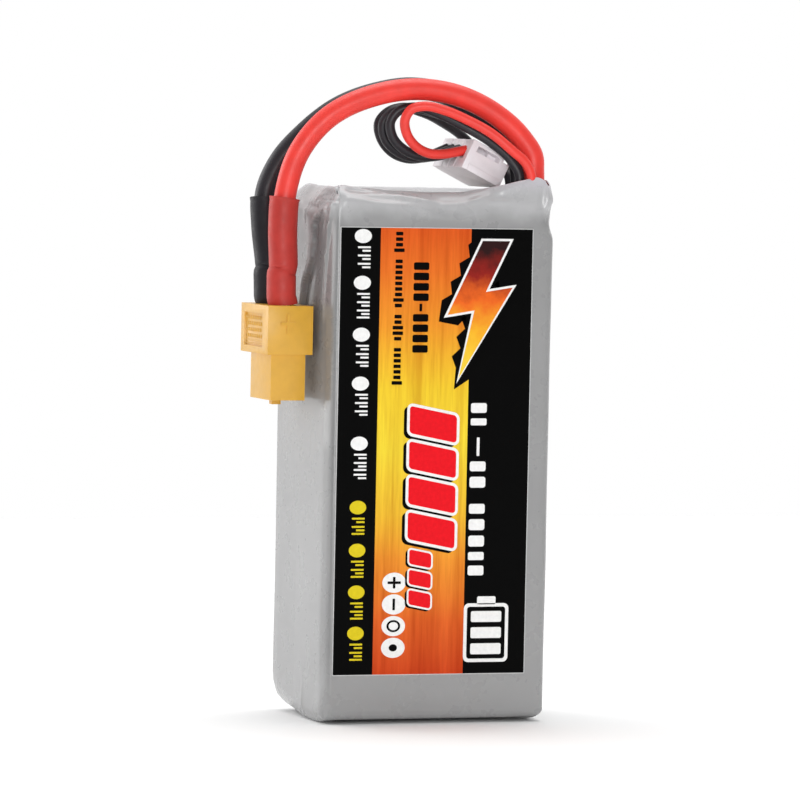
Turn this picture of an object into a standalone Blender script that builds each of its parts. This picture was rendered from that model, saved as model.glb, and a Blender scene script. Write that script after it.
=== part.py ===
"""Lipo battery pack, modelled as the assembly it is.

Three pouch cells stand in a heat-shrink sleeve with a printed label. Two thick leads come out
of the top and arch over to a two-pole power plug beside the pack. Four thin wires leave beside
them and make a small loop to a four-pole balance plug that lies on the top.

Metres, +Z up. The pack stands on its end, its front faces -Y and its width runs along X. The
origin is at the middle of the bottom face.
"""

import math

import bmesh
import bpy
from mathutils import Matrix, Vector

MM = 0.001
GAP = 0.3  # mm, clearance between neighbouring solids

# Pack, in mm
PACK_WIDTH = 41.0
PACK_DEPTH = 27.5
FOLD_START = 87.0  # where the film starts to fold over at the top
PACK_HEIGHT = 90.3
FILM = 0.4
CORNER = 2.2
BOTTOM_ROUND = 1.5
BOTTOM_LIP = 5.0
TOP_LIP = {"left": 4.0, "right": 0.0, "front": 0.3, "rear": 2.75}

LABEL_WIDTH = 35.2
LABEL_HEIGHT = 77.2
LABEL_CENTRE_X = -1.15
LABEL_CENTRE_Z = 45.6
LABEL_THICKNESS = 0.25

# Cells and what holds them
CELL_WIDTH = 38.8
CELL_DEPTH = 7.9
CELL_BOTTOM = 2.3
CELL_TOP = 77.5
CELL_ROUND = 1.2
SEAL_WIDTH = 36.0
SEAL_DEPTH = 0.8
SEAL_TOP = 81.4
TAPE_WIDTH = 30.0
TAPE_HEIGHT = 62.0
TAPE_DEPTH = 0.5
CELL_PITCH = CELL_DEPTH + TAPE_DEPTH + 2 * GAP
BOTTOM_PAD = (38.0, 25.0, 1.2)

TAB_WIDTH = 8.0
TAB_THICKNESS = 0.4
TAB_OFFSET_X = 8.5
TAB_FOLD = 3.0
BOARD_BOTTOM = 83.0
BOARD_THICKNESS = 1.2
BOARD_SIZE = (38.4, 25.2)
SLOT_SIZE = (8.8, 1.4)
PAD_LEFT = -15.8
PAD_RIGHT = 12.4
PAD_FRONT = -12.2
PAD_REAR = 10.3
PAD_BOTTOM = 85.5
PAD_TOP = 90.0

# Main leads: from the plug's rear face, over the pack, down to where the film lets them out
LEAD_RADIUS = 1.9
LEAD_PIVOT_Z = 92.0
LEAD_EXIT_X = 17.9
RED_ROUTE = (
    (-25.55, -3.8, 70.6), (-25.55, -3.6, 76.0), (-25.6, -2.9, 84.0), (-25.1, -2.6, 89.6),
    (-23.1, -3.4, 96.6), (-18.6, -4.3, 102.4), (-9.5, -5.5, 106.9), (-2.8, -6.2, 107.9),
    (3.9, -7.0, 107.1), (10.7, -7.9, 104.1), (15.7, -8.7, 99.8), (17.8, -9.1, 96.4),
    (LEAD_EXIT_X, -9.2, LEAD_PIVOT_Z + LEAD_RADIUS + GAP),
)
BLACK_ROUTE = (
    (-25.55, 3.4, 70.6), (-25.6, 3.9, 76.0), (-25.9, 5.9, 84.0), (-25.6, 6.9, 89.6),
    (-23.3, 6.2, 95.2), (-19.6, 5.1, 99.7), (-13.5, 3.8, 104.6), (-7.2, 2.7, 107.1),
    (-1.0, 1.7, 108.1), (4.2, 0.9, 107.4), (9.4, 0.0, 105.1), (14.4, -1.0, 101.0),
    (17.4, -1.7, 97.0), (LEAD_EXIT_X, -1.9, LEAD_PIVOT_Z + LEAD_RADIUS + GAP),
)
CUP_LENGTH = 4.0  # the solder cup, inside the heat-shrink
SHRINK_LENGTH = 18.2
SHRINK_WALL = 0.35

# Main plug: a wide grip, and below it a slimmer nose with two cut corners at the negative end
PLUG_CENTRE = (-25.55, -0.2)
GRIP_SIZE = (8.1, 16.0)
GRIP_TOP = 70.3
GRIP_BOTTOM = 61.9
GRIP_CHAMFER = 0.6
NOSE_SIZE = (6.2, 14.0)
NOSE_CHAMFER = 2.6
NOSE_BOTTOM = 54.0
BOSS_SIZE = (1.6, 1.6)
BOSS_BOTTOM = 53.0
CONTACT_PITCH = 7.2
CONTACT_RADIUS = 2.0
SOCKET_RADIUS = 1.5
SOCKET_DEPTH = 12.0

# Balance lead: one red wire in front and three black ones behind it
WIRE_RADIUS = 0.85
WIRE_START_Z = 91.0
BALANCE_ROUTES = {
    "red": (
        (16.2, -11.9, WIRE_START_Z), (16.5, -12.1, 93.0), (15.5, -12.0, 95.4),
        (13.0, -11.8, 97.6), (9.1, -11.0, 100.7), (5.1, -10.2, 102.8), (1.0, -9.6, 104.4),
        (-2.3, -9.0, 105.0), (-4.5, -8.4, 104.4), (-5.4, -7.8, 102.6), (-4.9, -7.4, 100.2),
        (-3.2, -7.2, 98.1), (-0.7, -7.0, 96.9), (2.2, -6.8, 96.8), (5.15, -6.61, 97.31),
    ),
    "black_1": (
        (14.9, -10.4, WIRE_START_Z), (14.9, -10.3, 93.4), (13.4, -9.9, 96.0),
        (9.6, -9.2, 99.2), (5.4, -8.3, 101.6), (1.4, -7.0, 103.6), (-2.6, -5.7, 104.8),
        (-5.6, -4.9, 104.1), (-6.9, -4.5, 102.2), (-6.4, -4.3, 99.6), (-4.2, -4.2, 97.4),
        (-1.1, -4.15, 96.3), (1.9, -4.13, 96.4), (4.93, -4.12, 97.31),
    ),
    "black_2": (
        (15.2, -7.3, WIRE_START_Z), (15.2, -7.2, 94.0), (14.6, -6.9, 96.3),
        (12.4, -6.8, 98.4), (9.0, -6.7, 100.6), (5.0, -5.9, 102.5), (1.0, -4.7, 103.9),
        (-2.6, -3.6, 104.6), (-5.9, -2.7, 104.0), (-7.5, -2.4, 102.0), (-7.0, -2.0, 99.3),
        (-4.6, -1.8, 97.0), (-1.2, -1.7, 96.0), (1.8, -1.65, 96.3), (4.71, -1.63, 97.31),
    ),
    "black_3": (
        (15.2, -5.1, WIRE_START_Z), (15.1, -4.5, 93.0), (14.8, -2.6, 94.3), (14.6, 0.2, 94.7),
        (14.1, 3.0, 95.4), (12.6, 4.8, 97.1), (10.2, 4.8, 99.4), (5.0, 2.2, 102.2),
        (0.0, -0.5, 104.0), (-3.4, -1.1, 104.7), (-6.0, -0.5, 103.9), (-7.5, 0.0, 102.0),
        (-7.0, 0.3, 99.4), (-4.9, 0.4, 96.9), (-1.6, 0.7, 95.8), (1.6, 0.82, 96.2),
        (4.49, 0.86, 97.31),
    ),
}

# Balance plug, lying tilted on the top of the pack
BALANCE_SIZE = (8.0, 12.4, 5.4)  # along its axis, along its row of contacts, thickness
BALANCE_REAR_NEAR = (5.9, -9.0, 97.05)  # middle of the rear face at the near end of the row
BALANCE_DROP = math.radians(26)
BALANCE_TURN = math.radians(5)
BALANCE_PITCH = 2.5
BALANCE_BORE = 1.7
BALANCE_CONTACT = 1.1
NOTCH = (1.5, 1.2)
KEYWAY = (4.6, 0.8, 0.9)

ROUTE_STEPS = 24  # points read between two route points before a stretch is resampled


# ---------------------------------------------------------------- shared tools


def clear_scene():
    for old in list(bpy.data.objects):
        bpy.data.objects.remove(old, do_unlink=True)


def material(name, colour, roughness, metallic=0.0):
    made = bpy.data.materials.new(name)
    made.use_nodes = True
    shader = made.node_tree.nodes["Principled BSDF"]
    shader.inputs["Base Color"].default_value = (*colour, 1.0)
    shader.inputs["Roughness"].default_value = roughness
    shader.inputs["Metallic"].default_value = metallic
    made.diffuse_color = (*colour, 1.0)
    return made


def add_object(name, data, finish, parent=None):
    piece = bpy.data.objects.new(name, data)
    bpy.context.scene.collection.objects.link(piece)
    data.materials.append(finish)
    piece.parent = parent
    if parent is not None:
        piece.matrix_parent_inverse = parent.matrix_world.inverted()
    return piece


def empty_at(name, place):
    mark = bpy.data.objects.new(name, None)
    bpy.context.scene.collection.objects.link(mark)
    mark.location = Vector(place) * MM
    bpy.context.view_layer.update()
    return mark


def mesh_from(name, points, faces):
    mesh = bpy.data.meshes.new(name)
    mesh.from_pydata([Vector(p) * MM for p in points], [], faces)
    made = bmesh.new()
    made.from_mesh(mesh)
    bmesh.ops.recalc_face_normals(made, faces=made.faces)
    made.to_mesh(mesh)
    made.free()
    return mesh


def box_mesh(name, low, high, bevel=0.0, segments=2, upright_only=False):
    """A box between two corners in mm, with all its edges or its upright ones rounded."""
    made = bmesh.new()
    size = Vector(high) - Vector(low)
    middle = (Vector(high) + Vector(low)) / 2
    place = Matrix.Translation(middle * MM) @ Matrix.Diagonal((*(size * MM), 1.0))
    bmesh.ops.create_cube(made, size=1.0, matrix=place)
    if bevel:
        edges = [e for e in made.edges if not upright_only or is_upright(e)]
        bmesh.ops.bevel(made, geom=edges, offset=bevel * MM, segments=segments,
                        profile=0.5, affect="EDGES")
    mesh = bpy.data.meshes.new(name)
    made.to_mesh(mesh)
    made.free()
    return mesh


def is_upright(edge):
    run = edge.verts[0].co - edge.verts[1].co
    return abs(run.x) < 1e-7 and abs(run.y) < 1e-7


def box(name, low, high, finish, parent=None, **rounding):
    return add_object(name, box_mesh(name, low, high, **rounding), finish, parent)


def turned_mesh(name, profile, place, sides):
    """A solid turned about an upright axis; profile is (radius, height) from bottom to top."""
    rings = [[(place[0] + r * math.cos(a), place[1] + r * math.sin(a), z)
              for a in (2 * math.pi * k / sides for k in range(sides))]
             for r, z in profile if r > 0]
    points = [p for ring in rings for p in ring]
    faces = ring_faces(len(rings), sides)
    faces.append(tuple(range(sides)))
    top = len(points) - sides
    if profile[-1][0] == 0:
        points.append((place[0], place[1], profile[-1][1]))
        faces += [(top + k, top + (k + 1) % sides, len(points) - 1) for k in range(sides)]
    else:
        faces.append(tuple(range(top, top + sides)))
    return mesh_from(name, points, faces)


def ring_faces(count, sides):
    """Quads between neighbouring rings of points."""
    return [(r * sides + k, r * sides + (k + 1) % sides,
             (r + 1) * sides + (k + 1) % sides, (r + 1) * sides + k)
            for r in range(count - 1) for k in range(sides)]


def cut(target, cutter):
    """Cuts one object out of another with an exact Boolean."""
    cutter.hide_render = True
    cutter.display_type = "WIRE"
    step = target.modifiers.new(cutter.name, "BOOLEAN")
    step.operation = "DIFFERENCE"
    step.solver = "EXACT"
    step.object = cutter


def join(target, other):
    """Adds one object's solid to another's."""
    cut(target, other)
    target.modifiers[-1].operation = "UNION"


def smooth_route(points):
    """A dense smooth curve through a route's own points (cubic, chord-length spaced)."""
    route = [Vector(p) for p in points]
    spans = [(b - a).length for a, b in zip(route, route[1:])]
    slopes = [(b - a) / s for a, b, s in zip(route, route[1:], spans)]
    tangents = [slopes[0]]
    for k in range(1, len(route) - 1):
        before, after = spans[k - 1], spans[k]
        tangents.append((slopes[k] * before + slopes[k - 1] * after) / (before + after))
    tangents.append(slopes[-1])
    dense = []
    for k, span in enumerate(spans):
        for step in range(ROUTE_STEPS):
            t = step / ROUTE_STEPS
            dense.append(route[k] * (2 * t**3 - 3 * t**2 + 1)
                         + tangents[k] * span * (t**3 - 2 * t**2 + t)
                         + route[k + 1] * (3 * t**2 - 2 * t**3)
                         + tangents[k + 1] * span * (t**3 - t**2))
    dense.append(route[-1])
    return dense


def route_length(dense):
    return sum((b - a).length for a, b in zip(dense, dense[1:]))


def stretch_of(dense, start, end, spacing):
    """Evenly spaced points of the curve between two lengths along it."""
    count = max(2, round((end - start) / spacing) + 1)
    wanted = [start + (end - start) * k / (count - 1) for k in range(count)]
    picked, gone, k = [], 0.0, 0
    for length in wanted:
        while k < len(dense) - 2 and gone + (dense[k + 1] - dense[k]).length < length:
            gone += (dense[k + 1] - dense[k]).length
            k += 1
        run = (dense[k + 1] - dense[k]).length
        picked.append(dense[k].lerp(dense[k + 1], min(1.0, (length - gone) / run)))
    return picked


def cord(name, points, radius, finish, parent):
    """A plain round cord: a poly curve with a round bevel and filled caps."""
    data = bpy.data.curves.new(name, "CURVE")
    data.dimensions = "3D"
    data.bevel_depth = radius * MM
    data.bevel_resolution = 2
    data.use_fill_caps = True
    spline = data.splines.new("POLY")
    spline.points.add(len(points) - 1)
    for slot, point in zip(spline.points, points):
        slot.co = (*(point * MM), 1.0)
    return add_object(name, data, finish, parent)


def tube_mesh(name, path, outer, inner, sides):
    """A hollow tube swept along a path, open at both ends."""
    rings = []
    for radius in (outer, inner):
        rows = []
        for k, centre in enumerate(path):
            ahead = path[min(k + 1, len(path) - 1)] - path[max(k - 1, 0)]
            across = ahead.cross(Vector((0, 1, 0))).normalized()
            other = ahead.cross(across).normalized()
            rows.append([centre + radius * (across * math.cos(a) + other * math.sin(a))
                         for a in (2 * math.pi * j / sides for j in range(sides))])
        rings += rows if radius == outer else rows[::-1]
    count = len(rings)
    points = [p for ring in rings for p in ring]
    faces = ring_faces(count, sides)
    last = (count - 1) * sides
    faces += [(last + k, last + (k + 1) % sides, (k + 1) % sides, k) for k in range(sides)]
    return mesh_from(name, points, faces)


# ---------------------------------------------------------------- the pack


def film_ring(insets, z, inner=0.0, arc_steps=3):
    """A rounded rectangle of the film at one height, drawn in by the given insets."""
    half_x, half_y = PACK_WIDTH / 2, PACK_DEPTH / 2
    left, right = -half_x + insets["left"] + inner, half_x - insets["right"] - inner
    front, rear = -half_y + insets["front"] + inner, half_y - insets["rear"] - inner
    radius = CORNER - inner
    corners = ((right, rear, 0), (left, rear, 90), (left, front, 180), (right, front, 270))
    ring = []
    for x, y, turn in corners:
        middle_x = x - math.copysign(radius, x)
        middle_y = y - math.copysign(radius, y)
        for k in range(arc_steps + 1):
            a = math.radians(turn + 90 * k / arc_steps)
            ring.append((middle_x + radius * math.cos(a), middle_y + radius * math.sin(a), z))
    return ring


def even(inset):
    return dict.fromkeys(TOP_LIP, inset)


def film_skin(inner):
    """Rings from the bottom opening, out and up the walls, to the top opening."""
    rings = [film_ring(even(BOTTOM_LIP), inner)]
    round_steps = 3
    for k in range(round_steps + 1):
        a = math.radians(90 * k / round_steps)
        reach = BOTTOM_ROUND - inner
        drawn = BOTTOM_ROUND - reach * math.sin(a)
        rings.append(film_ring(even(drawn - inner), BOTTOM_ROUND - reach * math.cos(a), inner))
    fold_steps = 4
    for k in range(fold_steps + 1):
        share = k / fold_steps
        rise = (PACK_HEIGHT - FOLD_START) * math.sin(math.radians(90 * share))
        insets = {side: lip * share for side, lip in TOP_LIP.items()}
        rings.append(film_ring(insets, FOLD_START + rise - inner * share, inner * (1 - share)))
    return rings


def build_sleeve(film):
    rings = film_skin(0.0) + film_skin(FILM)[::-1]
    sides = len(rings[0])
    points = [p for ring in rings for p in ring]
    faces = ring_faces(len(rings), sides)
    last = (len(rings) - 1) * sides
    faces += [(last + k, last + (k + 1) % sides, (k + 1) % sides, k) for k in range(sides)]
    return add_object("shrink_sleeve", mesh_from("shrink_sleeve", points, faces), film)


def build_label(print_finish):
    front = -PACK_DEPTH / 2 - GAP
    low = (LABEL_CENTRE_X - LABEL_WIDTH / 2, front - LABEL_THICKNESS,
           LABEL_CENTRE_Z - LABEL_HEIGHT / 2)
    high = (LABEL_CENTRE_X + LABEL_WIDTH / 2, front, LABEL_CENTRE_Z + LABEL_HEIGHT / 2)
    return box("front_label", low, high, print_finish)


def build_cells(pouch, copper, aluminium, foam):
    """The cells, front to back, each with its top seal and two folded tabs."""
    for number in (1, 2, 3):
        y = (number - 2) * CELL_PITCH
        name = f"cell_{number}"
        cell = box(name, (-CELL_WIDTH / 2, y - CELL_DEPTH / 2, CELL_BOTTOM),
                   (CELL_WIDTH / 2, y + CELL_DEPTH / 2, CELL_TOP), pouch, bevel=CELL_ROUND)
        seal = box(f"{name}_seal", (-SEAL_WIDTH / 2, y - SEAL_DEPTH / 2, CELL_TOP - 2.0),
                   (SEAL_WIDTH / 2, y + SEAL_DEPTH / 2, SEAL_TOP), pouch)
        join(cell, seal)
        side = 1 if number % 2 else -1
        build_tab(f"{name}_positive_tab", -side * TAB_OFFSET_X, y, aluminium)
        build_tab(f"{name}_negative_tab", side * TAB_OFFSET_X, y, copper)
    for number in (1, 2):
        y = (number - 1.5) * CELL_PITCH
        middle = (CELL_BOTTOM + CELL_TOP) / 2
        box(f"cell_tape_{number}",
            (-TAPE_WIDTH / 2, y - TAPE_DEPTH / 2, middle - TAPE_HEIGHT / 2),
            (TAPE_WIDTH / 2, y + TAPE_DEPTH / 2, middle + TAPE_HEIGHT / 2), foam)


def build_tab(name, x, y, finish):
    """A strip that rises through the board and folds over on its top."""
    low = SEAL_TOP + GAP
    fold = BOARD_BOTTOM + BOARD_THICKNESS + GAP
    near, far = y - TAB_THICKNESS / 2, y + TAB_THICKNESS / 2
    profile = ((near, low), (far, low), (far, fold), (near + TAB_FOLD, fold),
               (near + TAB_FOLD, fold + TAB_THICKNESS), (near, fold + TAB_THICKNESS))
    count = len(profile)
    points = [(x + side * TAB_WIDTH / 2, py, pz) for side in (-1, 1) for py, pz in profile]
    faces = [tuple(range(count)), tuple(range(count, 2 * count))]
    faces += [(k, (k + 1) % count, count + (k + 1) % count, count + k) for k in range(count)]
    return add_object(name, mesh_from(name, points, faces), finish)


def build_board(fibre):
    top = BOARD_BOTTOM + BOARD_THICKNESS
    half_x, half_y = BOARD_SIZE[0] / 2, BOARD_SIZE[1] / 2
    board = box("tab_board", (-half_x, -half_y, BOARD_BOTTOM), (half_x, half_y, top), fibre)
    for number in (1, 2, 3):
        for side in (-1, 1):
            x, y = side * TAB_OFFSET_X, (number - 2) * CELL_PITCH
            slot = box(f"tab_slot_{number}_{side + 1}",
                       (x - SLOT_SIZE[0] / 2, y - SLOT_SIZE[1] / 2, BOARD_BOTTOM - 1.0),
                       (x + SLOT_SIZE[0] / 2, y + SLOT_SIZE[1] / 2, top + 1.0), fibre)
            cut(board, slot)


def build_pads(foam):
    wide, deep, thick = BOTTOM_PAD
    low = FILM + GAP
    box("bottom_pad", (-wide / 2, -deep / 2, low), (wide / 2, deep / 2, low + thick), foam,
        bevel=1.0, upright_only=True)
    box("end_pad", (PAD_LEFT, PAD_FRONT, PAD_BOTTOM), (PAD_RIGHT, PAD_REAR, PAD_TOP), foam,
        bevel=1.0, upright_only=True)


def build_tails(finishes):
    """The soldered ends that stand on the board, each with a round top at its joint."""
    foot = BOARD_BOTTOM + BOARD_THICKNESS + GAP
    for colour, route in (("red", RED_ROUTE), ("black", BLACK_ROUTE)):
        x, y, _ = route[-1]
        profile = [(LEAD_RADIUS, foot)]
        for degrees in (0, 30, 60, 90):
            a = math.radians(degrees)
            reach = LEAD_RADIUS * math.cos(a) if degrees < 90 else 0.0
            profile.append((reach, LEAD_PIVOT_Z + LEAD_RADIUS * math.sin(a)))
        name = f"main_tail_{colour}"
        tail = add_object(name, turned_mesh(name, profile, (x, y), 12), finishes[colour])
        tail.data.shade_smooth()
        tail.data.set_sharp_from_angle(angle=math.radians(40))
    for key, route in BALANCE_ROUTES.items():
        x, y, start = route[0]
        name = f"balance_tail_{key}"
        profile = [(WIRE_RADIUS, foot), (WIRE_RADIUS, start - GAP)]
        mesh = turned_mesh(name, profile, (x, y), 8)
        add_object(name, mesh, finishes[key.split("_")[0]])


# ---------------------------------------------------------------- main leads and plug


def build_main_lead(rubbers, shrinks, plug_finish, brass):
    pivot = empty_at("main_lead_lift", (LEAD_EXIT_X, 0, LEAD_PIVOT_Z))
    for colour, route in (("red", RED_ROUTE), ("black", BLACK_ROUTE)):
        dense = smooth_route(route)
        lead = stretch_of(dense, CUP_LENGTH + 2 * GAP, route_length(dense), 2.0 * LEAD_RADIUS * 2)
        cord(f"main_lead_{colour}", lead, LEAD_RADIUS, rubbers[colour], pivot)
        name = f"heatshrink_{colour}"
        inner = LEAD_RADIUS + GAP
        shrink = stretch_of(dense, 0.0, SHRINK_LENGTH, 2.0)
        mesh = tube_mesh(name, shrink, inner + SHRINK_WALL, inner, 16)
        mesh.shade_smooth()
        mesh.set_sharp_from_angle(angle=math.radians(40))
        add_object(name, mesh, shrinks[colour], pivot)
    housing = build_plug_housing(plug_finish, pivot)
    for name, side in (("main_contact_positive", -1), ("main_contact_negative", 1)):
        place = (PLUG_CENTRE[0], PLUG_CENTRE[1] + side * CONTACT_PITCH / 2)
        bore = turned_mesh(f"{name}_bore", [(CONTACT_RADIUS + GAP, NOSE_BOTTOM - 3),
                                            (CONTACT_RADIUS + GAP, GRIP_TOP + 1)], place, 16)
        cut(housing, add_object(f"{name}_bore", bore, brass, pivot))
        build_main_contact(name, place, brass, pivot)


def cut_corner_block(name, size, chamfer, low, high, finish, parent):
    """An upright block at the plug's centre whose two rear corners are cut off."""
    half_x, half_y = size[0] / 2, size[1] / 2
    outline = ((half_x, -half_y), (half_x, half_y - chamfer), (half_x - chamfer, half_y),
               (-half_x + chamfer, half_y), (-half_x, half_y - chamfer), (-half_x, -half_y))
    count = len(outline)
    points = [(PLUG_CENTRE[0] + x, PLUG_CENTRE[1] + y, z) for z in (low, high)
              for x, y in outline]
    faces = [tuple(range(count)), tuple(range(count, 2 * count))]
    faces += [(k, (k + 1) % count, count + (k + 1) % count, count + k) for k in range(count)]
    return add_object(name, mesh_from(name, points, faces), finish, parent)


def build_plug_housing(finish, parent):
    """Grip, nose and the small boss between the sockets, as one moulding."""
    housing = cut_corner_block("main_plug_housing", GRIP_SIZE, GRIP_CHAMFER, GRIP_BOTTOM,
                               GRIP_TOP, finish, parent)
    join(housing, cut_corner_block("plug_nose", NOSE_SIZE, NOSE_CHAMFER, NOSE_BOTTOM,
                                   GRIP_BOTTOM + 1.0, finish, parent))
    boss_x, boss_y = BOSS_SIZE[0] / 2, BOSS_SIZE[1] / 2
    boss = box("plug_boss", (PLUG_CENTRE[0] - boss_x, PLUG_CENTRE[1] - boss_y, BOSS_BOTTOM),
               (PLUG_CENTRE[0] + boss_x, PLUG_CENTRE[1] + boss_y, NOSE_BOTTOM + 1.0), finish,
               parent)
    join(housing, boss)
    return housing


def build_main_contact(name, place, finish, parent):
    """A gold barrel with a socket in its lower end; its upper end is the solder cup."""
    top = GRIP_TOP + CUP_LENGTH
    barrel_profile = [(CONTACT_RADIUS, NOSE_BOTTOM + GAP), (CONTACT_RADIUS, GRIP_TOP - 1.0),
                      (LEAD_RADIUS - 0.1, GRIP_TOP - 0.5), (LEAD_RADIUS - 0.1, top)]
    barrel = add_object(name, turned_mesh(name, barrel_profile, place, 16), finish, parent)
    socket_profile = [(SOCKET_RADIUS, NOSE_BOTTOM - 1.0),
                      (SOCKET_RADIUS, NOSE_BOTTOM + SOCKET_DEPTH)]
    socket = turned_mesh(f"{name}_socket", socket_profile, place, 16)
    cut(barrel, add_object(f"{name}_socket", socket, finish, parent))


# ---------------------------------------------------------------- balance lead and plug


def build_balance_lead(rubbers, nylon, tin):
    x, y, z = BALANCE_ROUTES["red"][0]
    pivot = empty_at("balance_lead_swing", (x, y, z))
    for key, route in BALANCE_ROUTES.items():
        dense = smooth_route(route)
        wire = stretch_of(dense, 0.0, route_length(dense), 2.0 * WIRE_RADIUS * 2)
        cord(f"balance_wire_{key}", wire, WIRE_RADIUS, rubbers[key.split("_")[0]], pivot)
    length, row, thick = BALANCE_SIZE
    turn = Matrix.Rotation(BALANCE_TURN, 4, "Z") @ Matrix.Rotation(BALANCE_DROP, 4, "Y")
    place = Matrix.Translation(Vector(BALANCE_REAR_NEAR) * MM) @ turn
    housing = box("balance_plug_housing", (0, 0, -thick / 2), (length, row, thick / 2), nylon,
                  bevel=0.25, segments=1)
    notch = box("balance_notch", (length - NOTCH[0], -1, thick / 2 - NOTCH[1]),
                (length + 1, row + 1, thick / 2 + 1), nylon)
    pieces = [housing, notch]
    cut(housing, notch)
    for side, end in enumerate((0.0, row)):
        middle = thick / 2 - 1.6
        keyway = box(f"balance_keyway_{side}",
                     (1.6, end - KEYWAY[1], middle - KEYWAY[2] / 2),
                     (1.6 + KEYWAY[0], end + KEYWAY[1], middle + KEYWAY[2] / 2), nylon)
        cut(housing, keyway)
        pieces.append(keyway)
    first = (row - 3 * BALANCE_PITCH) / 2
    for number in range(4):
        y = first + number * BALANCE_PITCH
        half = BALANCE_BORE / 2
        bore = box(f"balance_bore_{number}", (-1, y - half, -half), (length + 1, y + half, half),
                   nylon)
        cut(housing, bore)
        half = BALANCE_CONTACT / 2
        contact = box(f"balance_contact_{number + 1}", (0.2, y - half, -half),
                      (length - 1.0, y + half, half), tin)
        pieces += [bore, contact]
    for piece in pieces:
        piece.matrix_world = place
        piece.parent = pivot
        piece.matrix_parent_inverse = pivot.matrix_world.inverted()


# ---------------------------------------------------------------- assembly


def main():
    clear_scene()
    film = material("film", (0.42, 0.42, 0.42), 0.28)
    printed = material("label_print", (0.85, 0.3, 0.05), 0.35)
    pouch = material("pouch_foil", (0.6, 0.6, 0.62), 0.35, 1.0)
    aluminium = material("aluminium_tab", (0.8, 0.8, 0.82), 0.35, 1.0)
    copper = material("nickel_tab", (0.65, 0.6, 0.52), 0.35, 1.0)
    foam = material("foam", (0.75, 0.75, 0.72), 0.9)
    fibre = material("board", (0.05, 0.2, 0.09), 0.5)
    red = material("red_silicone", (0.85, 0.07, 0.05), 0.45)
    black = material("black_silicone", (0.02, 0.02, 0.022), 0.45)
    red_shrink = material("red_heatshrink", (0.55, 0.05, 0.04), 0.5)
    black_shrink = material("black_heatshrink", (0.025, 0.025, 0.025), 0.5)
    yellow = material("yellow_nylon", (0.8, 0.45, 0.06), 0.4)
    white = material("white_nylon", (0.75, 0.72, 0.74), 0.45)
    gold = material("gold_contact", (0.9, 0.65, 0.25), 0.25, 1.0)
    tin = material("tin_contact", (0.75, 0.75, 0.76), 0.3, 1.0)
    rubbers = {"red": red, "black": black}

    build_sleeve(film)
    build_label(printed)
    build_cells(pouch, copper, aluminium, foam)
    build_board(fibre)
    build_pads(foam)
    build_tails(rubbers)
    build_main_lead(rubbers, {"red": red_shrink, "black": black_shrink}, yellow, gold)
    build_balance_lead(rubbers, white, tin)


main()
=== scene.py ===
"""Looks of the lipo battery pack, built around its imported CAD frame.

The shrink film, the printed label, both plugs, the leads and their heat-shrinks get meshes of
their own here. The cells, the board and the contacts keep their CAD solids and get finished
materials. Lengths are in mm unless a comment says otherwise, and MM turns them into metres.
"""

import math
import random

import bmesh
import bpy
import numpy as np
from mathutils import Matrix, Vector, noise


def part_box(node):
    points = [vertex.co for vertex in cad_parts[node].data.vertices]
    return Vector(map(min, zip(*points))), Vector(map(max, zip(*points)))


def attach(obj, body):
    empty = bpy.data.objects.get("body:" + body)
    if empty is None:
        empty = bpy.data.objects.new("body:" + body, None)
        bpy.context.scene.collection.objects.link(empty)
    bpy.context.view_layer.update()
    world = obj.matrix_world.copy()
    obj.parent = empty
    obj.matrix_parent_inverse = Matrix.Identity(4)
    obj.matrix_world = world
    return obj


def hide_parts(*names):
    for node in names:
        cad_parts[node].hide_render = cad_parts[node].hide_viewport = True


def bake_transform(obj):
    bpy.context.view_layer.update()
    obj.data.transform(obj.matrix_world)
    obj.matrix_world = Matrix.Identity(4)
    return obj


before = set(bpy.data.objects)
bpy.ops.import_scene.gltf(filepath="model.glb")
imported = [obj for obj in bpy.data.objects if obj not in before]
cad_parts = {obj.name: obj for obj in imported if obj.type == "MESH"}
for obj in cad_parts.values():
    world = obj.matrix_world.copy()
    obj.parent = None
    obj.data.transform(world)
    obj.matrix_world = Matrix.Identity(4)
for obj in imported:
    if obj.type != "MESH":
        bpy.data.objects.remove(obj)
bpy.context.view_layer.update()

MM = 0.001


def box_of(node):
    """The lowest and highest corner of a CAD node, in mm."""
    low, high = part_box(node)
    return Vector(low) / MM, Vector(high) / MM


PACK_LOW, PACK_HIGH = box_of("shrink_sleeve")
LABEL_LOW, LABEL_HIGH = box_of("front_label")
PLUG_LOW, PLUG_HIGH = box_of("main_plug_housing")
BOARD_TOP = box_of("tab_board")[1].z

# Camera, at the photograph's viewing angle
CAMERA_PLACE = (-329.3, -942.2, 105.9)
CAMERA_AIM = (-2.12, 1.32, 53.66)
CAMERA_ROLL = math.radians(1.16)
CAMERA_LENS = 257.6
SENSOR_WIDTH = 36.0

# Light: levels of the white surroundings, and the three softboxes
BACKDROP_LEVEL = 1.05
ROOM_LEVEL = 0.30
KEY_WATTS = 4.4
SIDE_WATTS = 3.7
TOP_WATTS = 3.6
FLOOR_REACH = 0.45  # half its width, in metres
FLOOR_GAP = 0.02  # below the film

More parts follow.
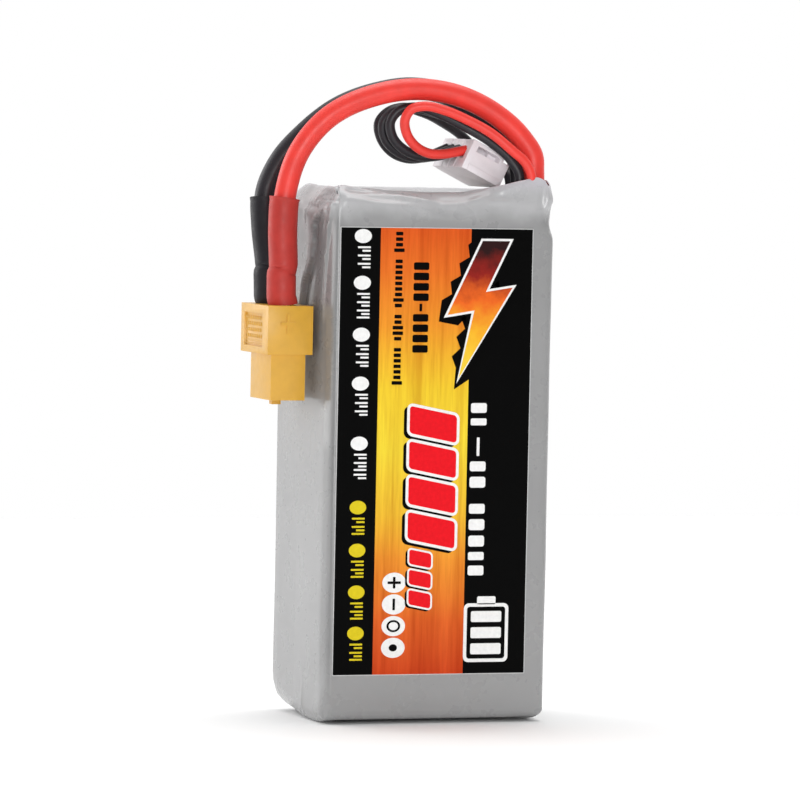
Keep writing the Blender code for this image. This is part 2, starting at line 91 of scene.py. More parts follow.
# Leads: the same routes as in the CAD model, in metres
LEAD_RADIUS = 1.9
RED_ROUTE = (
    (-0.02555, -0.0038, 0.0706), (-0.02555, -0.0036, 0.0760), (-0.0256, -0.0029, 0.0840),
    (-0.0251, -0.0026, 0.0896), (-0.0231, -0.0034, 0.0966), (-0.0186, -0.0043, 0.1024),
    (-0.0095, -0.0055, 0.1069), (-0.0028, -0.0062, 0.1079), (0.0039, -0.0070, 0.1071),
    (0.0107, -0.0079, 0.1041), (0.0157, -0.0087, 0.0998), (0.0178, -0.0091, 0.0964),
    (0.0179, -0.0092, 0.0942),
)
BLACK_ROUTE = (
    (-0.02555, 0.0034, 0.0706), (-0.0256, 0.0039, 0.0760), (-0.0259, 0.0059, 0.0840),
    (-0.0256, 0.0069, 0.0896), (-0.0233, 0.0062, 0.0952), (-0.0196, 0.0051, 0.0997),
    (-0.0135, 0.0038, 0.1046), (-0.0072, 0.0027, 0.1071), (-0.0010, 0.0017, 0.1081),
    (0.0042, 0.0009, 0.1074), (0.0094, 0.0, 0.1051), (0.0144, -0.0010, 0.1010),
    (0.0174, -0.0017, 0.0970), (0.0179, -0.0019, 0.0942),
)
CUP_LENGTH = 4.6  # from the plug's rear face to the end of the wire in its solder cup
SHRINK_LENGTH = 18.2
SHRINK_CREASE = 5.6  # from its lower end
SHRINK_WALL = 0.32

WIRE_RADIUS = 0.85
WIRE_ENTRY = 1.3  # length of insulation inside the balance plug
BALANCE_ROUTES = {
    "red": (
        (0.0162, -0.0119, 0.0910), (0.0165, -0.0121, 0.0930), (0.0155, -0.0120, 0.0954),
        (0.0130, -0.0118, 0.0976), (0.0091, -0.0110, 0.1007), (0.0051, -0.0102, 0.1028),
        (0.0010, -0.0096, 0.1044), (-0.0023, -0.0090, 0.1050), (-0.0045, -0.0084, 0.1044),
        (-0.0054, -0.0078, 0.1026), (-0.0049, -0.0074, 0.1002), (-0.0032, -0.0072, 0.0981),
        (-0.0007, -0.0070, 0.0969), (0.0022, -0.0068, 0.0968), (0.00515, -0.00661, 0.09731),
    ),
    "black_1": (
        (0.0149, -0.0104, 0.0910), (0.0149, -0.0103, 0.0934), (0.0134, -0.0099, 0.0960),
        (0.0096, -0.0092, 0.0992), (0.0054, -0.0083, 0.1016), (0.0014, -0.0070, 0.1036),
        (-0.0026, -0.0057, 0.1048), (-0.0056, -0.0049, 0.1041), (-0.0069, -0.0045, 0.1022),
        (-0.0064, -0.0043, 0.0996), (-0.0042, -0.0042, 0.0974), (-0.0011, -0.00415, 0.0963),
        (0.0019, -0.00413, 0.0964), (0.00493, -0.00412, 0.09731),
    ),
    "black_2": (
        (0.0152, -0.0073, 0.0910), (0.0152, -0.0072, 0.0940), (0.0146, -0.0069, 0.0963),
        (0.0124, -0.0068, 0.0984), (0.0090, -0.0067, 0.1006), (0.0050, -0.0059, 0.1025),
        (0.0010, -0.0047, 0.1039), (-0.0026, -0.0036, 0.1046), (-0.0059, -0.0027, 0.1040),
        (-0.0075, -0.0024, 0.1020), (-0.0070, -0.0020, 0.0993), (-0.0046, -0.0018, 0.0970),
        (-0.0012, -0.0017, 0.0960), (0.0018, -0.00165, 0.0963), (0.00471, -0.00163, 0.09731),
    ),
    "black_3": (
        (0.0152, -0.0051, 0.0910), (0.0151, -0.0045, 0.0930), (0.0148, -0.0026, 0.0943),
        (0.0146, 0.0002, 0.0947), (0.0141, 0.0030, 0.0954), (0.0126, 0.0048, 0.0971),
        (0.0102, 0.0048, 0.0994), (0.0050, 0.0022, 0.1022), (0.0, -0.0005, 0.1040),
        (-0.0034, -0.0011, 0.1047), (-0.0060, -0.0005, 0.1039), (-0.0075, 0.0, 0.1020),
        (-0.0070, 0.0003, 0.0994), (-0.0049, 0.0004, 0.0969), (-0.0016, 0.0007, 0.0958),
        (0.0016, 0.00082, 0.0962), (0.00449, 0.00086, 0.09731),
    ),
}

# Balance plug: length along its axis, along its row of contacts, thickness
BALANCE_SIZE = (8.0, 12.4, 5.4)
BALANCE_REAR_NEAR = (5.9, -9.0, 97.05)
BALANCE_DROP = math.radians(26)
BALANCE_TURN = math.radians(5)
BALANCE_PITCH = 2.5


# --- meshes


def mesh_object(name, points, faces, finish, smooth=None, turn_out=True):
    """A mesh from points in mm; a closed one has its faces turned outward."""
    mesh = bpy.data.meshes.new(name)
    mesh.from_pydata([tuple(c * MM for c in p) for p in points], [], faces)
    if turn_out:
        made = bmesh.new()
        made.from_mesh(mesh)
        bmesh.ops.recalc_face_normals(made, faces=made.faces)
        made.to_mesh(mesh)
        made.free()
    mesh.materials.append(finish)
    return place_mesh(name, mesh, smooth)


def adjust(thing, **values):
    """Sets several values on a modifier, node, camera or light, and returns it."""
    for key, value in values.items():
        setattr(thing, key, value)
    return thing


def linked(name, data):
    """A new object in the scene."""
    piece = bpy.data.objects.new(name, data)
    bpy.context.scene.collection.objects.link(piece)
    return piece


def mesh_from(made, name):
    """Turns a bmesh into a mesh, and frees it."""
    mesh = bpy.data.meshes.new(name)
    made.to_mesh(mesh)
    made.free()
    return mesh


def place_mesh(name, mesh, smooth=None):
    piece = linked(name, mesh)
    if smooth is not None:
        mesh.shade_smooth()
        mesh.set_sharp_from_angle(angle=math.radians(smooth))
    return piece


def box_mesh(low, high, edge, segments):
    """A bmesh box between two corners, its edges rounded by that much."""
    made = bmesh.new()
    size = Vector(high) - Vector(low)
    middle = (Vector(high) + Vector(low)) / 2
    place = Matrix.Translation(middle * MM) @ Matrix.Diagonal((*(size * MM), 1.0))
    bmesh.ops.create_cube(made, size=1.0, matrix=place)
    if edge:
        bmesh.ops.bevel(made, geom=list(made.edges), offset=edge * MM, segments=segments,
                        profile=0.5, affect="EDGES")
    return made


def block(low, high, edge=0.0):
    """A throw-away box, for joining to or cutting from another mesh."""
    return loose_object(box_mesh(low, high, edge, 1))


def rod(start, end, radius, sides=32):
    """A throw-away round bar between two points."""
    run = Vector(end) - Vector(start)
    place = (Matrix.Translation((Vector(start) + run / 2) * MM)
             @ run.to_track_quat("Z", "Y").to_matrix().to_4x4())
    made = bmesh.new()
    bmesh.ops.create_cone(made, cap_ends=True, segments=sides, radius1=radius * MM,
                          radius2=radius * MM, depth=run.length * MM, matrix=place)
    return loose_object(made)


def extrude(made, first, second):
    """Joins two rings of points by sides, closes both ends, and returns the faces."""
    rings = [[made.verts.new([c * MM for c in p]) for p in ring] for ring in (first, second)]
    faces = [made.faces.new(rings[0]), made.faces.new(rings[1][::-1])]
    count = len(first)
    for k in range(count):
        after = (k + 1) % count
        side = (rings[0][after], rings[0][k], rings[1][k], rings[1][after])
        faces.append(made.faces.new(side))
    return faces


def prism(outline, low, high):
    """A throw-away upright prism on an (x, y) outline."""
    made = bmesh.new()
    extrude(made, *([(x, y, z) for x, y in outline] for z in (high, low)))
    return loose_object(made)


def loose_object(made):
    bmesh.ops.recalc_face_normals(made, faces=made.faces)
    return linked("loose", mesh_from(made, "loose"))


def combine(name, base, joined, cut_away, finish, edge=0.12, smooth=35):
    """Joins and cuts throw-away solids, rounds the edges that are left, and names the result."""
    for operation, others in (("UNION", joined), ("DIFFERENCE", cut_away)):
        for other in others:
            adjust(base.modifiers.new(operation, "BOOLEAN"), operation=operation,
                   solver="EXACT", object=other)
    adjust(base.modifiers.new("edges", "BEVEL"), width=edge * MM, segments=2,
           limit_method="ANGLE", angle_limit=math.radians(40))
    bpy.context.view_layer.update()
    graph = bpy.context.evaluated_depsgraph_get()
    mesh = bpy.data.meshes.new_from_object(base.evaluated_get(graph))
    mesh.name = name
    for used in [base, *joined, *cut_away]:
        bpy.data.objects.remove(used, do_unlink=True)
    mesh.materials.clear()
    mesh.materials.append(finish)
    return place_mesh(name, mesh, smooth)


def merge(target, others):
    """Adds throw-away solids to a mesh as they are, without a Boolean."""
    made = bmesh.new()
    made.from_mesh(target.data)
    for other in others:
        made.from_mesh(other.data)
        bpy.data.objects.remove(other, do_unlink=True)
    made.to_mesh(target.data)
    made.free()


# --- routes and tubes

ROUTE_STEPS = 24


def smooth_route(points):
    """A dense smooth curve through a route's own points (cubic, chord-length spaced)."""
    route = [Vector(p) for p in points]
    spans = [(b - a).length for a, b in zip(route, route[1:])]
    slopes = [(b - a) / s for a, b, s in zip(route, route[1:], spans)]
    tangents = [slopes[0]]
    for k in range(1, len(route) - 1):
        before, after = spans[k - 1], spans[k]
        tangents.append((slopes[k] * before + slopes[k - 1] * after) / (before + after))
    tangents.append(slopes[-1])
    dense = []
    for k, span in enumerate(spans):
        for step in range(ROUTE_STEPS):
            t = step / ROUTE_STEPS
            dense.append(route[k] * (2 * t**3 - 3 * t**2 + 1)
                         + tangents[k] * span * (t**3 - 2 * t**2 + t)
                         + route[k + 1] * (3 * t**2 - 2 * t**3)
                         + tangents[k + 1] * span * (t**3 - t**2))
    dense.append(route[-1])
    return dense


def route_length(dense):
    return sum((b - a).length for a, b in zip(dense, dense[1:]))


def stretch_of(dense, start, end, spacing):
    """Evenly spaced points of the curve between two lengths along it."""
    count = max(2, round((end - start) / spacing) + 1)
    wanted = [start + (end - start) * k / (count - 1) for k in range(count)]
    picked, gone, k = [], 0.0, 0
    for length in wanted:
        while k < len(dense) - 2 and gone + (dense[k + 1] - dense[k]).length < length:
            gone += (dense[k + 1] - dense[k]).length
            k += 1
        run = (dense[k + 1] - dense[k]).length
        picked.append(dense[k].lerp(dense[k + 1], min(1.0, (length - gone) / run)))
    return picked


def ring_frames(path):
    """Two directions across the path at each point, carried along it without a twist."""
    aheads = [(path[min(k + 1, len(path) - 1)] - path[max(k - 1, 0)]).normalized()
              for k in range(len(path))]
    across = aheads[0].orthogonal().normalized()
    frames = []
    for ahead in aheads:
        across = (across - ahead * across.dot(ahead)).normalized()
        frames.append((across, ahead.cross(across)))
    return frames


def tube(name, path, radius_at, sides, finish, wall=None):
    """A tube along path (mm). radius_at(share of its length, angle) is its outer radius.
    With a wall it is open at both ends, and without one it is solid with closed ends."""
    last = len(path) - 1
    frames = ring_frames(path)
    angles = [2 * math.pi * j / sides for j in range(sides)]
    rings = [(k, 0.0) for k in range(last + 1)]
    if wall:
        rings += [(k, wall) for k in range(last, -1, -1)]
    points = []
    for k, shrink in rings:
        one, two = frames[k]
        points += [path[k] + (radius_at(k / last, a) - shrink)
                   * (one * math.cos(a) + two * math.sin(a)) for a in angles]
    faces = []
    for r in range(len(rings) if wall else last):
        near, far = r * sides, (r + 1) % len(rings) * sides
        for j in range(sides):
            after = (j + 1) % sides
            faces.append((near + j, near + after, far + after, far + j))
    if not wall:
        faces += [tuple(range(sides)), tuple(range(len(points) - sides, len(points)))]
    return mesh_object(name, points, faces, finish, smooth=50)


# --- material nodes


class Nodes:
    """Short calls for the node tree of a material or world."""

    def __init__(self, owner):
        owner.use_nodes = True
        self.nodes = owner.node_tree.nodes
        self.links = owner.node_tree.links

    def add(self, kind, **values):
        return adjust(self.nodes.new(kind), **values)

    def feed(self, node, **inputs):
        """Links an output to an input, or sets a plain number or colour on it. An input is
        given by its name, or by its place in the list after an n."""
        for key, value in inputs.items():
            place = int(key[1:]) if key[1:].isdigit() else key.replace("_", " ")
            socket = node.inputs[place]
            if isinstance(value, bpy.types.NodeSocket):
                self.links.new(value, socket)
            elif isinstance(value, tuple) and len(value) < len(socket.default_value):
                socket.default_value = (*value, 1.0)
            else:
                socket.default_value = value
        return node

    def part(self, vector, axis):
        """One coordinate of a position."""
        node = self.feed(self.add("ShaderNodeSeparateXYZ"), Vector=vector)
        return node.outputs[axis]

    def span(self, value, low, high, to_low=0.0, to_high=1.0, smooth=False):
        node = self.add("ShaderNodeMapRange")
        if smooth:
            node.interpolation_type = "SMOOTHSTEP"
        self.feed(node, From_Min=low, From_Max=high, To_Min=to_low, To_Max=to_high, Value=value)
        return node.outputs["Result"]


class Finish(Nodes):
    """A Principled material. Positions are the object's own, in metres, which are the CAD
    model's positions."""

    def __init__(self, name, **sockets):
        self.made = bpy.data.materials.new(name)
        super().__init__(self.made)
        self.shader = self.nodes["Principled BSDF"]
        self.place = self.add("ShaderNodeTexCoord").outputs["Object"]
        self.feed(self.shader, **sockets)

    def noise(self, per_mm, detail=3.0, roughness=0.55, stretch=(1.0, 1.0, 1.0)):
        """Noise with that many cells to a mm, stretched along axes by dividing its scale."""
        mapping = self.add("ShaderNodeMapping")
        scale = tuple(per_mm / (MM * s) for s in stretch)
        self.feed(mapping, Vector=self.place, Scale=scale)
        texture = self.add("ShaderNodeTexNoise")
        self.feed(texture, Vector=mapping.outputs["Vector"], Scale=1.0, Detail=detail,
                  Roughness=roughness)
        return texture.outputs["Fac"]

    def height(self):
        return self.part(self.place, "Z")

    def attribute(self, name):
        return self.add("ShaderNodeAttribute", attribute_name=name).outputs["Fac"]

    def ramp(self, value, stops):
        node = self.add("ShaderNodeValToRGB")
        band = node.color_ramp
        while len(band.elements) < len(stops):
            band.elements.new(0.5)
        for element, (spot, colour) in zip(band.elements, stops):
            element.position = spot
            element.color = (*colour, 1.0)
        return self.feed(node, Fac=value).outputs["Color"]

    def mix(self, how, share, first, second):
        """Mixes two colours; the share and the colours are outputs or plain values."""
        node = self.add("ShaderNodeMix", data_type="RGBA", blend_type=how)
        return self.feed(node, n0=share, n6=first, n7=second).outputs[2]

    def math(self, how, first, second):
        node = self.add("ShaderNodeMath", operation=how)
        return self.feed(node, n0=first, n1=second).outputs["Value"]

    def colour(self, output):
        self.feed(self.shader, Base_Color=output)

    def drift(self, value, first, second, low=0.3, high=0.7):
        """Goes from the first colour to the second as the value goes from low to high."""
        self.colour(self.ramp(value, [(low, first), (high, second)]))

    def gloss(self, per_mm, low, high, detail=3.0):
        """Roughness that drifts between low and high."""
        spread = self.span(self.noise(per_mm, detail), 0.3, 0.7, low, high)
        self.feed(self.shader, Roughness=spread)

    def bump(self, *layers):
        """Each layer is (height output, depth in mm), laid over the one before."""
        normal = None
        for output, depth in layers:
            node = self.add("ShaderNodeBump")
            self.feed(node, Strength=1.0, Distance=depth * MM, Height=output)
            if normal is not None:
                self.feed(node, Normal=normal)
            normal = node.outputs["Normal"]
        self.feed(self.shader, Normal=normal)


def tinted(colour, factor):
    return tuple(min(1.0, c * factor) for c in colour)


def surface(name, colour, cloud, shades, gloss, grains, **sockets):
    """A plain material whose colour and roughness drift a little. cloud is what
    Finish.noise takes, shades are two factors on the colour, gloss is what Finish.gloss
    takes, and grains are (what Finish.noise takes, depth in mm)."""
    made = Finish(name, **sockets)
    made.drift(made.noise(*cloud), *(tinted(colour, shade) for shade in shades))
    made.gloss(*gloss)
    made.bump(*[(made.noise(*grain), depth) for grain, depth in grains])
    return made.made


# --- materials

FILM_GREY = (0.30, 0.30, 0.302)
PRINT_COLOURS = {"black": (0.002, 0.002, 0.002), "white": (0.86, 0.86, 0.85),
                 "yellow": (0.70, 0.56, 0.02), "red": (0.80, 0.012, 0.02),
                 "edge": (0.62, 0.62, 0.62)}
PRINT_GLOSS = 0.03


def film_finish():
    """Clear shrink film over grey, and glossy: paler at its top lips, where it leaves the cells,
    with a painted highlight on the shoulder where the top light falls, and painted shade and
    painted light on the left side.
    """
    made = Finish("film", Coat_Weight=0.28, Coat_Roughness=0.05)
    cloud = made.noise(0.05, detail=2.0)
    base = made.ramp(cloud, [(0.3, tinted(FILM_GREY, 0.96)), (0.7, tinted(FILM_GREY, 1.04))])
    uneven = made.math("MULTIPLY", made.noise(0.16, detail=3.0), 4.0 * MM)
    level = made.math("ADD", made.height(), uneven)
    # drawn is painted top light: the shoulder, where the film leans back, is mixed towards a paler
    # grey, as the light from above would make it
    drawn = made.span(level, 86.8 * MM, 90.2 * MM, 0.0, 0.8, smooth=True)
    paler = made.mix("MIX", drawn, base, (0.50, 0.50, 0.51))
    thin = made.span(made.height(), 90.0 * MM, 92.5 * MM, 0.0, 0.5, smooth=True)
    shown = made.mix("MIX", thin, paler, (0.62, 0.59, 0.65))
    # Painted light on the bulge behind the left step, and painted shade in front of it and on the
    # left corner, read from the film's attributes
    for name, share, colour in (("painted_light", 0.85, (0.60, 0.60, 0.61)),
                                ("painted_shade", 0.62, (0.07, 0.07, 0.07))):
        amount = made.math("MULTIPLY", made.attribute(name), share)
        shown = made.mix("MIX", amount, shown, colour)
    made.colour(shown)
    made.gloss(0.25, 0.24, 0.34, detail=4.0)
    made.bump((made.noise(0.12, detail=1.0), 0.05),
              (made.noise(0.5, detail=1.0, stretch=(1.0, 1.0, 4.0)), 0.006))
    return made.made


def print_finish(name, colour):
    """Ink under a clear laminate."""
    return surface(name, colour, (1.5,), (0.94, 1.05), (0.3, 0.38, 0.48),
                   [((0.12, 2.0), 0.03)], Specular_IOR_Level=PRINT_GLOSS)


def panel_finish():
    """Red orange to yellow and back from top to bottom, with fine streaks up and down."""
    made = Finish("print_panel", Specular_IOR_Level=PRINT_GLOSS)
    rise = made.span(made.height(), LABEL_LOW.z * MM, LABEL_HIGH.z * MM)
    base = made.ramp(rise, [
        (0.0, (0.62, 0.065, 0.016)), (0.12, (0.73, 0.130, 0.024)),
        (0.26, (0.84, 0.30, 0.034)), (0.36, (0.86, 0.52, 0.040)),
        (0.50, (0.87, 0.66, 0.045)), (0.64, (0.86, 0.58, 0.034)),
        (0.78, (0.83, 0.30, 0.027)), (0.90, (0.78, 0.17, 0.022)), (1.0, (0.70, 0.10, 0.016)),
    ])
    wide = made.noise(0.55, detail=4.0, stretch=(1.0, 1.0, 30.0))
    fine = made.noise(2.4, detail=3.0, stretch=(1.0, 1.0, 16.0))
    streaks = made.ramp(wide, [(0.32, (0.80, 0.66, 0.60)), (0.5, (1.0, 1.0, 1.0)),
                               (0.68, (1.08, 1.16, 1.2))])
    grain = made.ramp(fine, [(0.3, (0.90, 0.84, 0.82)), (0.6, (1.0, 1.0, 1.0))])
    made.colour(made.mix("MULTIPLY", 1.0, made.mix("MULTIPLY", 0.85, base, streaks), grain))
    made.gloss(0.3, 0.38, 0.48)
    made.bump((made.noise(0.12, detail=2.0), 0.03))
    return made.made


def bolt_finish(low, high):
    """The bolt's fill: flame yellow at its lower end, through red, to near black on top."""
    made = Finish("print_bolt", Specular_IOR_Level=PRINT_GLOSS, Roughness=0.42)
    rise = made.span(made.height(), (LABEL_LOW.z + low) * MM, (LABEL_LOW.z + high) * MM)
    flicker = made.math("MULTIPLY", made.noise(0.35, detail=5.0), 0.3)
    level = made.math("ADD", rise, made.math("SUBTRACT", flicker, 0.15))
    made.colour(made.ramp(level, [
        (0.0, (0.88, 0.66, 0.06)), (0.32, (0.90, 0.46, 0.03)), (0.56, (0.82, 0.14, 0.02)),
        (0.74, (0.28, 0.02, 0.015)), (0.93, (0.03, 0.012, 0.012)),
    ]))
    return made.made


def silicone_finish(name, colour, shine):
    """Soft extruded silicone: faint clouding and a fine tooth."""
    return surface(name, colour, (0.35,), (0.93, 1.06), (0.8, 0.36, 0.5),
                   [((0.6,), 0.02), ((5.0, 4.0), 0.006)],
                   Specular_IOR_Level=shine, Coat_Weight=0.06, Coat_Roughness=0.25)


def shrink_finish(name, colour):
    """Recovered heat-shrink: matte, with slight rings and a darker bloom."""
    return surface(name, colour, (0.3, 4.0), (0.88, 1.08), (0.9, 0.42, 0.58),
                   [((0.5, 3.0, 0.55, (3.0, 3.0, 1.0)), 0.05), ((4.0, 4.0), 0.008)],
                   Specular_IOR_Level=0.3)


def nylon_finish(name, colour, per_mm, spread, low, high, grain, **sockets):
    """Moulded nylon: faintly cloudy, its gloss between low and high, with a fine grain."""
    return surface(name, colour, (per_mm,), (1 - spread, 1 + spread),
                   (per_mm * 1.7, low, high, 4.0), [((per_mm * 6, 4.0), grain)], **sockets)


def metal_finish(name, colour, rough):
    """Plated or rolled metal, with fine marks along its height."""
    return surface(name, colour, (0.8,), (0.9, 1.05), (1.5, rough * 0.75, rough * 1.3),
                   [((3.0, 3.0, 0.55, (1.0, 1.0, 6.0)), 0.006)], Metallic=1.0)


def foil_finish():
    """The pouches' laminated foil, with a faint crinkle."""
    made = Finish("pouch_foil", Metallic=0.85)
    made.drift(made.noise(0.2), (0.52, 0.52, 0.54), (0.66, 0.66, 0.68))
    made.gloss(0.5, 0.28, 0.45)
    made.bump((made.noise(0.35, detail=5.0), 0.08))
    return made.made


def board_finish():
    """Green solder mask with paler copper tracks showing through."""
    made = Finish("board", Coat_Weight=0.3, Coat_Roughness=0.2)
    tracks = made.span(made.noise(0.45, detail=0.0), 0.49, 0.51)
    made.colour(made.mix("MIX", tracks, (0.015, 0.10, 0.035), (0.035, 0.20, 0.06)))
    made.gloss(2.0, 0.35, 0.5)
    made.bump((tracks, 0.03))
    return made.made


def foam_finish():
    """Open-cell foam with a skin of pores."""
    made = Finish("foam", Roughness=0.9)
    pores = made.noise(2.2, detail=5.0, roughness=0.7)
    made.drift(pores, (0.50, 0.50, 0.48), (0.78, 0.78, 0.75), 0.35, 0.6)
    made.bump((pores, 0.15))
    return made.made


RED_SILICONE = silicone_finish("red_silicone", (0.84, 0.048, 0.036), 0.4)
BLACK_SILICONE = silicone_finish("black_silicone", (0.022, 0.020, 0.025), 0.32)
YELLOW_NYLON = nylon_finish("yellow_nylon", (0.68, 0.365, 0.034), 0.5, 0.04, 0.32, 0.44, 0.008,
                            Coat_Weight=0.1, Coat_Roughness=0.25)
WHITE_NYLON = nylon_finish("white_nylon", (0.83, 0.78, 0.81), 0.6, 0.03, 0.36, 0.48, 0.006)
LEAD_RUBBERS = {"red": RED_SILICONE, "black": BLACK_SILICONE}


# --- camera, light and floor


def aimed(place, aim):
    """The matrix of a camera or light at place that looks at aim, in metres."""
    run = Vector(aim) - Vector(place)
    return Matrix.Translation(place) @ run.to_track_quat("-Z", "Y").to_matrix().to_4x4()


def build_camera():
    camera = linked("camera", bpy.data.cameras.new("camera"))
    adjust(camera.data, lens=CAMERA_LENS, sensor_width=SENSOR_WIDTH, clip_end=20.0)
    look = aimed(Vector(CAMERA_PLACE) * MM, Vector(CAMERA_AIM) * MM)
    camera.matrix_world = look @ Matrix.Rotation(CAMERA_ROLL, 4, "Z")
    bpy.context.scene.camera = camera


def softbox(name, place, size, watts):
    """A rectangular area light that looks at the pack's middle, in metres."""
    light = linked(name, bpy.data.lights.new(name, "AREA"))
    adjust(light.data, shape="RECTANGLE", size=size[0], size_y=size[1], energy=watts)
    light.matrix_world = aimed(place, (0.0, 0.0, 0.05))


def build_backdrop():
    """A white backdrop behind the object that falls off to a dimmer room in front of it."""
    world = bpy.data.worlds.new("studio")
    made = Nodes(world)
    rearward = made.part(made.add("ShaderNodeTexCoord").outputs["Generated"], "Y")
    level = made.span(rearward, -0.30, 0.45, ROOM_LEVEL, BACKDROP_LEVEL, smooth=True)
    seen = made.add("ShaderNodeMix")  # plain white where it shows, and the levels as light
    camera_ray = made.add("ShaderNodeLightPath").outputs["Is Camera Ray"]
    made.feed(seen, n0=camera_ray, n2=level, n3=1.0)
    made.feed(made.nodes["Background"], Strength=seen.outputs[0], Color=(1.0, 1.0, 1.0))
    bpy.context.scene.world = world


def build_floor():
    made = bmesh.new()
    low = Matrix.Translation((0.0, 0.0, -(BELLY + FLOOR_GAP) * MM))
    bmesh.ops.create_grid(made, x_segments=1, y_segments=1, size=FLOOR_REACH, matrix=low)
    floor = linked("floor", mesh_from(made, "floor"))
    finish = Finish("floor_paper", Roughness=0.9, Specular_IOR_Level=0.1)
    finish.drift(finish.noise(0.02), (0.955, 0.955, 0.955), (0.97, 0.97, 0.97))
    floor.data.materials.append(finish.made)


def build_studio():
    build_backdrop()
    bpy.context.scene.view_settings.view_transform = "Standard"
    softbox("key_softbox", (-0.22, -0.95, 0.16), (0.5, 0.4), KEY_WATTS)
    softbox("side_softbox", (-0.72, 0.72, 0.32), (0.7, 0.7), SIDE_WATTS)
    softbox("top_softbox", (0.08, 0.10, 0.80), (0.7, 0.5), TOP_WATTS)
    build_floor()


# --- shrink film

FILM_SPACING = 0.4
# Front right, rear right, rear left and front left corner: its side in x and y, the direction
# in degrees where it begins, its reach along x and y, how near it comes to a flat chamfer, and
# how far the folds reach in there
CORNERS = ((1, -1, -90, 1.6, 1.6, 1.0, 1.2), (1, 1, 0, 2.0, 2.0, 1.0, 2.2),
           (-1, 1, 90, 1.1, 1.6, 1.0, 2.8), (-1, -1, 180, 1.6, 3.0, 1.25, 2.8))
CORNER_STEPS = 10
BOTTOM_LIP = 5.0
BELLY = 1.45  # how far the underside sags below the CAD model's flat one
WALL_BOTTOM, WALL_MIDDLE, WALL_TOP = 5.4, 60.0, 85.4
LOW_ROWS, HIGH_ROWS = 24, 44  # below and above the middle; the folds need the closer ones
LIP_ROWS, FOLD_ROWS, ARC_ROWS = 5, 8, 14
TOP_ROUNDNESS = 1.35

# Along the front, by x: where the film starts to lean back, and the height of its crest
FRONT_LEAN = ((-20.5, 88.6), (-16.6, 88.3), (-13.8, 87.3), (-7.7, 87.5), (-4.4, 87.4),
              (0.0, 86.0), (2.8, 85.9), (5.6, 86.7), (8.4, 87.0), (12.5, 87.5), (16.7, 87.2),
              (20.5, 87.6))
FRONT_CREST = ((-20.5, 90.4), (-18.0, 91.1), (-14.0, 90.9), (-9.0, 90.5), (-1.6, 90.25),
               (4.5, 90.3), (7.1, 90.8), (10.4, 91.5), (14.1, 92.4), (17.7, 93.2),
               (20.5, 91.4))


def ease(value, low, high):
    t = min(1.0, max(0.0, (value - low) / (high - low)))
    return t * t * (3 - 2 * t)


def along(table, value):
    """The value read off a table of (place, value) pairs, with rounded turns."""
    places, values = zip(*table)
    spread = [np.interp(value + shift, places, values) for shift in (-0.7, -0.35, 0, 0.35, 0.7)]
    return sum(spread) / len(spread)


def powered(value, power):
    return math.copysign(abs(value) ** power, value)


def section_points():
    """(x, y, outward x, outward y, most that a fold may reach in) round the pack,
    anticlockwise from the front left corner."""
    arcs = []
    for side_x, side_y, first, reach_x, reach_y, power, room in CORNERS:
        x, y = side_x * (PACK_HIGH.x - reach_x), side_y * (PACK_HIGH.y - reach_y)
        turns = [math.radians(first + 90 * k / CORNER_STEPS) for k in range(CORNER_STEPS + 1)]
        arcs.append([(x + reach_x * powered(math.cos(a), power),
                      y + reach_y * powered(math.sin(a), power),
                      math.cos(a), math.sin(a), room) for a in turns])
    points = []
    for before, arc in zip(arcs[-1:] + arcs[:-1], arcs):
        start, end = Vector(before[-1][:2]), Vector(arc[0][:2])
        length = (end - start).length
        spacing = FILM_SPACING / 2 if arc is arcs[-1] else FILM_SPACING  # finer on the left
        count = max(2, round(length / spacing))
        for k in range(1, count):
            x, y = start.lerp(end, k / count)
            room = min(before[-1][4] + length * k / count, arc[0][4] + length * (1 - k / count))
            points.append((x, y, arc[0][2], arc[0][3], room))
        points += arc
    return points


def film_top(x, y, out_x, out_y):
    """(height where it starts to lean in, crest, width of the lean, lip, fall of the lip)."""
    sides = [max(0.0, out) for out in (-out_y, out_y, -out_x, out_x)]

    def shared(front, rear, left, right):
        values = (front, rear, left, right)
        return sum(value * side for value, side in zip(values, sides)) / sum(sides)

    leads = ease(x, 4.5, 13.0) * (1 - ease(y, 2.0, 9.0))  # where the leads stand close
    clear = 1 - leads
    wave = noise.noise(Vector((x * 0.13, y * 0.13, 3.7)))
    lean = shared(along(FRONT_LEAN, x), 86.6 + 1.6 * wave, 86.9 + wave, 87.8)
    crest = shared(along(FRONT_CREST, x), 90.7 + 0.5 * ease(-x, 12.0, 19.0), 91.0 + 0.3 * wave,
                   92.6 - 2.4 * ease(y, -8.0, 8.0) - 1.2 * ease(-y, 10.5, 13.6))
    crest -= 2.3 * ease(-x, 14.5, 20.5) * ease(y, 6.5, 13.7)
    width = shared(3.3 * clear + 1.1 * leads, 2.8, 2.9, 1.5 - 0.9 * leads)
    lip = shared(2.6, 4.2, 4.6, 1.8) * clear + 0.2
    lip *= 1 + 0.3 * noise.noise(Vector((x * 0.35, y * 0.35, 9.1))) * clear
    dip = shared(0.8, 1.7, 1.3, 1.0) * clear
    return lean, crest, width, lip, dip


def film_bottom(x, y):
    """Radius of the fold at the foot: small in front, large towards the rear left."""
    rear_left = ease(y, -6.0, 13.0) * ease(-x, 8.0, 20.0)
    return 1.35 + 1.5 * ease(y, -2.0, 13.0) + 2.0 * rear_left + 0.5 * ease(x, 12.0, 20.0)


def foot_height(x, y, radius, sag):
    """Height of the film under the pack, where the folds of two sides meet at a corner."""
    over_x = max(0.0, radius - (PACK_HIGH.x - abs(x)))
    over_y = max(0.0, radius - (PACK_HIGH.y - abs(y)))
    share = min(1.0, (over_x**8 + over_y**8) ** 0.125 / radius)
    return sag + (radius - sag) * (1 - math.sqrt(1 - share * share))


